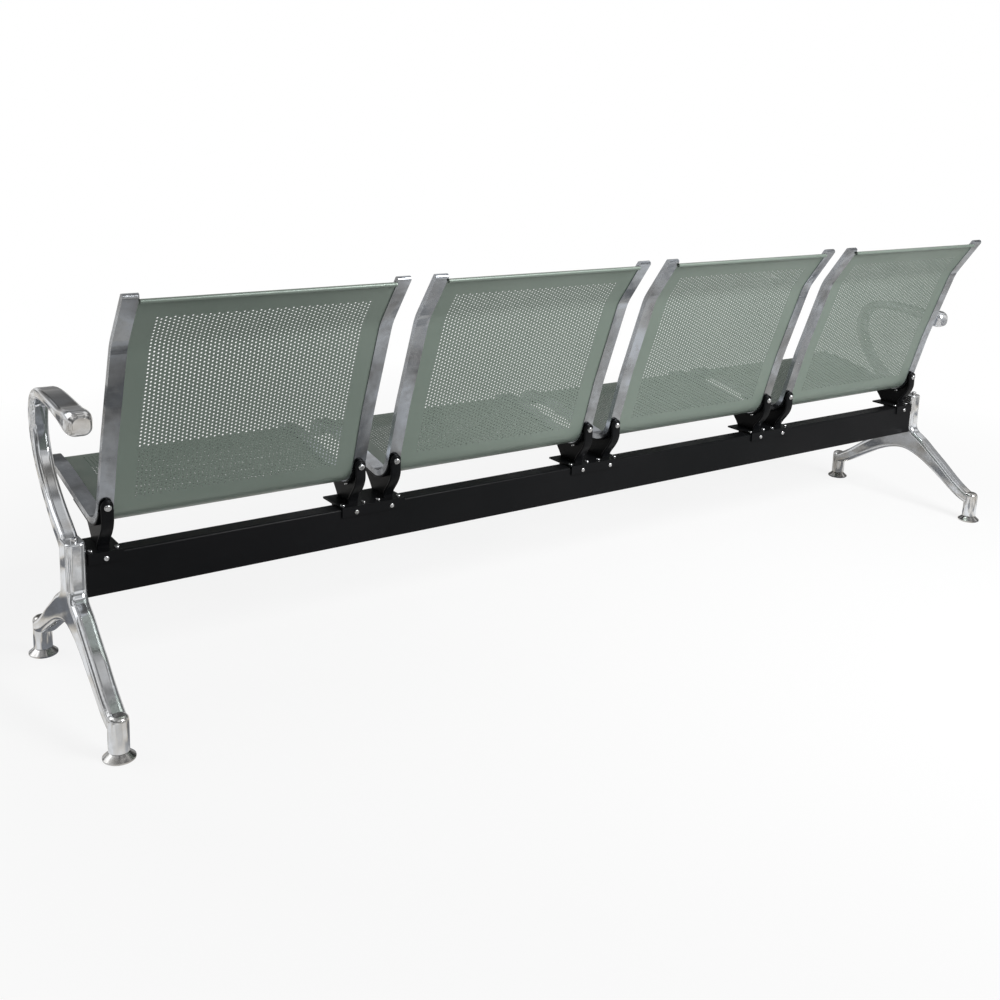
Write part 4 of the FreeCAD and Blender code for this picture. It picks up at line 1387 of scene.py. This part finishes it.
@dataclass(frozen=True)
class FloorSpot:
    """A round spot of the floor that metal mirrors darker, as painted shadow, or brighter, as painted light,
    in metres.
    """

    x: float
    y: float
    inside: float
    outside: float
    strength: float

    def add(self, graph: Graph, around: float) -> bpy.types.NodeSocket:
        """Add the spot to the floor's material.

        Args:
            graph: the floor's graph.
            around: the value outside the spot.

        Returns:
            The socket of a value that goes from the spot's strength to the one around it.
        """
        away = graph.vectors("DISTANCE", {0: place_of_surface(graph), 1: (self.x, self.y, 0.0)})
        return graph.range(away.outputs["Value"], self.inside, self.outside, self.strength, around)


@dataclass(frozen=True)
class Viewpoint:
    """Where the photograph was taken from: behind the bench, near its left end.

    Place is metres and angles are degrees. Focal length and middle are pixels of the square picture.
    """

    place: tuple[float, float, float] = (1.7726, 2.1814, 1.1185)
    azimuth: float = -36.086
    elevation: float = 11.786
    roll: float = 2.089
    picture: float = 1000.0
    focal_length: float = 1226.3
    middle: tuple[float, float] = (522.4, 353.1)
    sensor_width: float = 36.0
    far_end: float = 60.0

    def set_camera(self) -> None:
        """Set the camera there and make it the scene's own."""
        azimuth, elevation, roll = (math.radians(turn) for turn in (self.azimuth, self.elevation, self.roll))
        ahead = Vector((math.sin(azimuth) * math.cos(elevation), -math.cos(azimuth) * math.cos(elevation),
                        -math.sin(elevation)))
        right = ahead.cross(Vector((0, 0, 1))).normalized()
        up = right.cross(ahead)
        rolled_right = right * math.cos(roll) + up * math.sin(roll)
        rolled_up = up * math.cos(roll) - right * math.sin(roll)
        data = bpy.data.cameras.new("camera")
        data.sensor_width = self.sensor_width
        data.lens = self.sensor_width * self.focal_length / self.picture
        data.shift_x = (self.picture / 2 - self.middle[0]) / self.picture
        data.shift_y = (self.middle[1] - self.picture / 2) / self.picture
        data.clip_end = self.far_end
        camera = link("camera", data)
        turn = Matrix((rolled_right, rolled_up, -ahead)).transposed().to_4x4()
        camera.matrix_world = Matrix.Translation(self.place) @ turn
        bpy.context.scene.camera = camera


@dataclass
class Studio:
    """Pale floor, white background, soft lamps and the camera. Lengths are metres.

    The camera sees plain white around the object, while metal mirrors a patched floor and a room with
    darker and brighter bands, each given by its place on a ramp and its shade.
    """

    floor_reach: float = 14.0
    floor_colour: Colour = (0.82, 0.82, 0.82)
    floor_glow: float = 0.84
    fade_from: float = 1.3
    fade_to: float = 2.4
    mirrored_floor: tuple[tuple[float, Colour], ...] = (
        (0.42, (0.09, 0.10, 0.12)), (0.48, (0.70, 0.65, 0.57)), (0.56, (0.95, 0.95, 0.95)),
    )
    # Painted shadows behind and under the bench, and a painted pool of light by the near foot, on the floor
    # that only metal mirrors.
    mirrored_painted_shadows: tuple[FloorSpot, ...] = (
        FloorSpot(0.62, 0.55, inside=0.20, outside=0.52, strength=0.10),
        FloorSpot(-0.60, -0.45, inside=0.40, outside=0.85, strength=0.38),
    )
    mirrored_painted_light: FloorSpot = FloorSpot(1.22, 0.42, inside=0.06, outside=0.20, strength=0.75)
    mirrored_patches: float = 6.5
    mirrored_room: tuple[tuple[float, float], ...] = (
        (0.0, 0.85), (0.14, 0.9), (0.26, 0.30), (0.42, 0.14), (0.58, 0.9), (0.74, 1.0), (1.0, 0.5),
    )
    panel_scale: float = 3.1
    panel_band: Band = (0.44, 0.56, 0.25, 1.0)
    sky_light: float = 0.30
    lamps: tuple[Lamp, ...] = (
        Lamp("key_lamp", (-0.8, 2.5, 2.1), (-0.45, 0.0, 0.5), width=1.5, spread=100.0, watts=42.0),
        Lamp("fill_lamp", (3.2, -2.2, 3.0), (0.0, 0.0, 0.4), width=3.2, spread=180.0, watts=42.0),
    )
    viewpoint: Viewpoint = Viewpoint()

    def build(self) -> None:
        """Build the whole studio."""
        self.floor()
        self.world()
        for lamp in self.lamps:
            lamp.hang()
        self.viewpoint.set_camera()
        bpy.context.scene.view_settings.view_transform = "Standard"

    def floor(self) -> None:
        """Lay the floor: it shows the object's shadow and fades to white away from it."""
        mesh = bpy.data.meshes.new("floor")
        reach = self.floor_reach
        mesh.from_pydata([(-reach, -reach, 0), (reach, -reach, 0), (reach, reach, 0), (-reach, reach, 0)],
                         [], [(0, 1, 2, 3)])
        link("floor", mesh)
        material, graph, shader = new_material("studio_floor")
        graph.tree.nodes.remove(shader)
        matt = graph.add("ShaderNodeBsdfDiffuse", {"Color": (*self.floor_colour, 1.0)})
        white = graph.add("ShaderNodeEmission", {"Color": self.floor_seen(graph), "Strength": 1.0})
        distance = graph.vectors("LENGTH", {0: place_of_surface(graph)})
        fade = graph.range(distance.outputs["Value"], self.fade_from, self.fade_to, self.floor_glow, 1.0)
        rays = graph.add("ShaderNodeLightPath").outputs
        seen = graph.sum("MAXIMUM", rays["Is Camera Ray"], self.mirror_rays(graph, rays))
        share = graph.sum("MULTIPLY", fade, seen)
        shown = graph.add("ShaderNodeMixShader", {0: share, 1: matt.outputs[0], 2: white.outputs[0]})
        graph.feed(graph.tree.nodes["Material Output"], {"Surface": shown.outputs[0]})
        mesh.materials.append(material)

    def floor_seen(self, graph: Graph) -> bpy.types.NodeSocket:
        """Colour of the floor: white to the camera; to a mirror, patched, with painted shadows and a painted
        pool of light.

        Args:
            graph: the floor's graph.

        Returns:
            The colour's socket.
        """
        patches = graph.noise(place_of_surface(graph), self.mirrored_patches, detail=2.0)
        patched = graph.add("ShaderNodeValToRGB", {"Fac": patches})
        self.set_stops(patched.color_ramp, self.mirrored_floor)
        lit = 1.0
        # Painted shadow: the mirrored floor is darkened where the bench would shade it.
        for shade in self.mirrored_painted_shadows:
            lit = graph.sum("MULTIPLY", lit, shade.add(graph, 1.0))
        mirrored = graph.vectors("SCALE", {0: patched.outputs["Color"], "Scale": lit})
        in_camera = graph.add("ShaderNodeLightPath").outputs["Is Camera Ray"]
        # Painted light: a bright spot by the near foot, which its chrome mirrors.
        white_share = graph.sum("MAXIMUM", in_camera, self.mirrored_painted_light.add(graph, 0.0))
        return graph.mix(white_share, mirrored.outputs[0], WHITE)

    def set_stops(self, ramp: bpy.types.ColorRamp, bands: tuple[tuple[float, Colour], ...]) -> None:
        """Set the places and colours of a ramp.

        Args:
            ramp: a ramp with its two first stops.
            bands: place and colour of each stop, in order.
        """
        stops = ramp.elements
        stops[0].position, stops[-1].position = bands[0][0], bands[-1][0]
        for position, _ in bands[1:-1]:
            stops.new(position)
        for stop, (_, colour) in zip(stops, bands):
            stop.color = (*colour, 1.0)

    def mirror_rays(self, graph: Graph, rays: bpy.types.bpy_prop_collection) -> bpy.types.NodeSocket:
        """One for rays that left a mirror or passed through glass, zero for all others."""
        return graph.sum("MAXIMUM", rays["Is Glossy Ray"], rays["Is Transmission Ray"])

    def world(self) -> None:
        """White background, which metal mirrors as a room with darker bands."""
        world = bpy.data.worlds.new("studio")
        bpy.context.scene.world = world
        world.use_nodes = True
        graph = Graph(world.node_tree)
        graph.tree.nodes.clear()
        rays = graph.add("ShaderNodeLightPath").outputs
        direction = graph.add("ShaderNodeTexCoord").outputs["Generated"]
        up = graph.add("ShaderNodeSeparateXYZ", {"Vector": direction}).outputs["Z"]
        panels = graph.noise(direction, self.panel_scale, detail=1.0)
        lit = graph.range(panels, *self.panel_band)
        ramp = graph.add("ShaderNodeValToRGB", {"Fac": up})
        self.set_stops(ramp.color_ramp, tuple((place, (shade,) * 3) for place, shade in self.mirrored_room))
        reflected = graph.vectors("SCALE", {0: ramp.outputs["Color"], "Scale": lit})
        room = graph.mix(self.mirror_rays(graph, rays), (self.sky_light,) * 3, reflected.outputs[0])
        colour = graph.mix(rays["Is Camera Ray"], room, WHITE)
        sky = graph.add("ShaderNodeBackground", {"Color": colour, "Strength": 1.0})
        graph.add("ShaderNodeOutputWorld", {"Surface": sky.outputs[0]})


def main() -> None:
    """Build every sub-assembly in order."""
    logging.basicConfig(level=logging.INFO, format="%(message)s")
    finishes = Finishes()
    finishes.build()
    for assembly in (SeatSheets(), SideStrips(), BeamAndBrackets(), Legs()):
        assembly.build(finishes)
        log.info("built %s", type(assembly).__name__)
    Studio().build()


if __name__ == "__main__":
    main()
